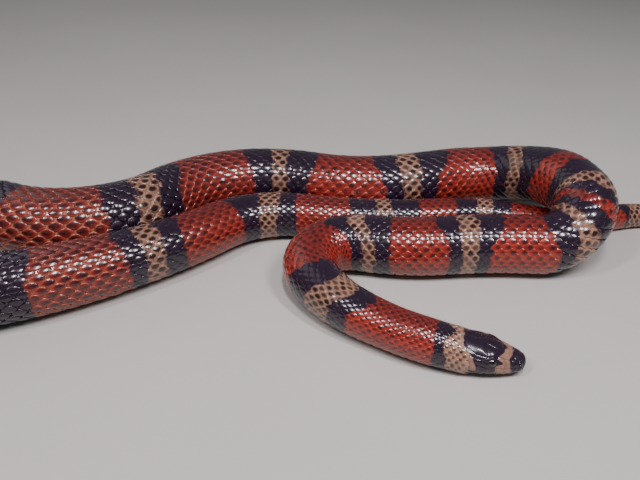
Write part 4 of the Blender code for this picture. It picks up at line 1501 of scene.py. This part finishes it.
# Name, place, share of the power in the settings.
KEY_LIGHTS = (
    ("key_light_left", (-0.36, -0.29, 0.60), 0.7),
    ("key_light_middle", (0.03, -0.29, 0.60), 1.0),
    ("key_light_right", (0.31, -0.29, 0.60), 1.0),
)
KEY_SIZE, KEY_COLOUR = (0.05, 0.20), (1.0, 0.96, 0.99)
FILL_PLACE, FILL_SIZE, FILL_COLOUR = (-0.70, 0.45, 0.80), (0.80, 0.80), (1.0, 0.95, 0.94)
LIGHTS_FACE = (0.0, 0.0, 0.01)
SENSOR_WIDTH = 36.0
NEAREST_SEEN = 0.01


def add_light(name, place, size, power, tone):
    """An area light, wide and deep as size says, that faces the model."""
    data = bpy.data.lights.new(name, "AREA")
    data.shape = "RECTANGLE"
    data.size, data.size_y = size
    data.energy = power
    data.color = tone
    light = new_object(name, data)
    light.location = place
    light.rotation_euler = (Vector(LIGHTS_FACE) - Vector(place)).to_track_quat("-Z", "Y").to_euler()


def build_stage(settings):
    """The floor, the lights and the camera."""
    stage = settings.stage
    signs = ((-1, -1), (1, -1), (1, 1), (-1, 1))
    corners = [(x * FLOOR_HALF, y * FLOOR_HALF, FLOOR_LEVEL) for x, y in signs]
    floor = new_object("stage_floor", mesh_from("stage_floor", corners, [(0, 1, 2, 3)]))
    floor.data.materials.append(floor_finish(settings))
    world = bpy.data.worlds.new("stage_sky")
    bpy.context.scene.world = world
    world.use_nodes = True
    sky = world.node_tree.nodes["Background"].inputs
    sky["Color"].default_value = SKY_COLOUR
    sky["Strength"].default_value = stage.sky
    for name, place, share in KEY_LIGHTS:
        add_light(name, place, KEY_SIZE, share * stage.key_power, KEY_COLOUR)
    add_light("fill_light", FILL_PLACE, FILL_SIZE, stage.fill_power, FILL_COLOUR)
    data = bpy.data.cameras.new("camera")
    data.sensor_width = SENSOR_WIDTH
    data.lens = stage.lens
    data.clip_start = NEAREST_SEEN
    camera = new_object("camera", data)
    camera.location = stage.camera_place
    camera.rotation_euler = (math.pi / 2 - stage.camera_pitch, 0.0, 0.0)
    bpy.context.scene.camera = camera


# ---------------------------------------------------------------- operators
class SNAKE_OT_build_stage(bpy.types.Operator):
    """Add the floor, the lights and the camera"""

    bl_idname = "snake.build_stage"
    bl_label = "Build Stage"

    def execute(self, context):
        build_stage(context.scene.milk_snake)
        return {"FINISHED"}


class SNAKE_OT_build_skin(bpy.types.Operator):
    """Add the one skin of the head, body and tail"""

    bl_idname = "snake.build_skin"
    bl_label = "Build Skin"

    def execute(self, context):
        build_skin(context.scene.milk_snake)
        return {"FINISHED"}


class SNAKE_OT_build_coat(bpy.types.Operator):
    """Add the scales of the back and the scutes of the belly"""

    bl_idname = "snake.build_coat"
    bl_label = "Build Scales"

    def execute(self, context):
        settings = context.scene.milk_snake
        tree, finish = coat_tree(), scale_finish(settings)
        build_dorsal_scales(settings, tree, finish)
        build_belly_scutes(settings, tree, finish)
        return {"FINISHED"}


class SNAKE_OT_build_eyes(bpy.types.Operator):
    """Add both eyes"""

    bl_idname = "snake.build_eyes"
    bl_label = "Build Eyes"

    def execute(self, context):
        settings = context.scene.milk_snake
        finish = eye_finish(settings)
        for node, side in EYE_NODES.items():
            build_eye(node, side, finish)
        return {"FINISHED"}


OPERATORS = (SNAKE_OT_build_stage, SNAKE_OT_build_skin, SNAKE_OT_build_coat, SNAKE_OT_build_eyes)


class SNAKE_PT_panel(bpy.types.Panel):
    """Builds the pieces of the model"""

    bl_idname = "SNAKE_PT_panel"
    bl_label = "Milk Snake"
    bl_space_type = "VIEW_3D"
    bl_region_type = "UI"
    bl_category = "Milk Snake"

    def draw(self, context):
        for operator in OPERATORS:
            self.layout.operator(operator.bl_idname)
        settings = context.scene.milk_snake
        for group in (settings.colours, settings.coat, settings.stage):
            box = self.layout.box()
            for name in group.__annotations__:
                box.prop(group, name)


CLASSES = (SnakeColours, SnakeCoat, SnakeStage, SnakeSettings, *OPERATORS, SNAKE_PT_panel)


def register():
    for item in CLASSES:
        bpy.utils.register_class(item)
    bpy.types.Scene.milk_snake = bpy.props.PointerProperty(type=SnakeSettings)


def unregister():
    del bpy.types.Scene.milk_snake
    for item in reversed(CLASSES):
        bpy.utils.unregister_class(item)


def main():
    """Build every piece in order."""
    register()
    for operator in OPERATORS:
        group, name = operator.bl_idname.split(".")
        getattr(getattr(bpy.ops, group), name)()
    bpy.context.view_layer.update()


if __name__ == "__main__":
    main()
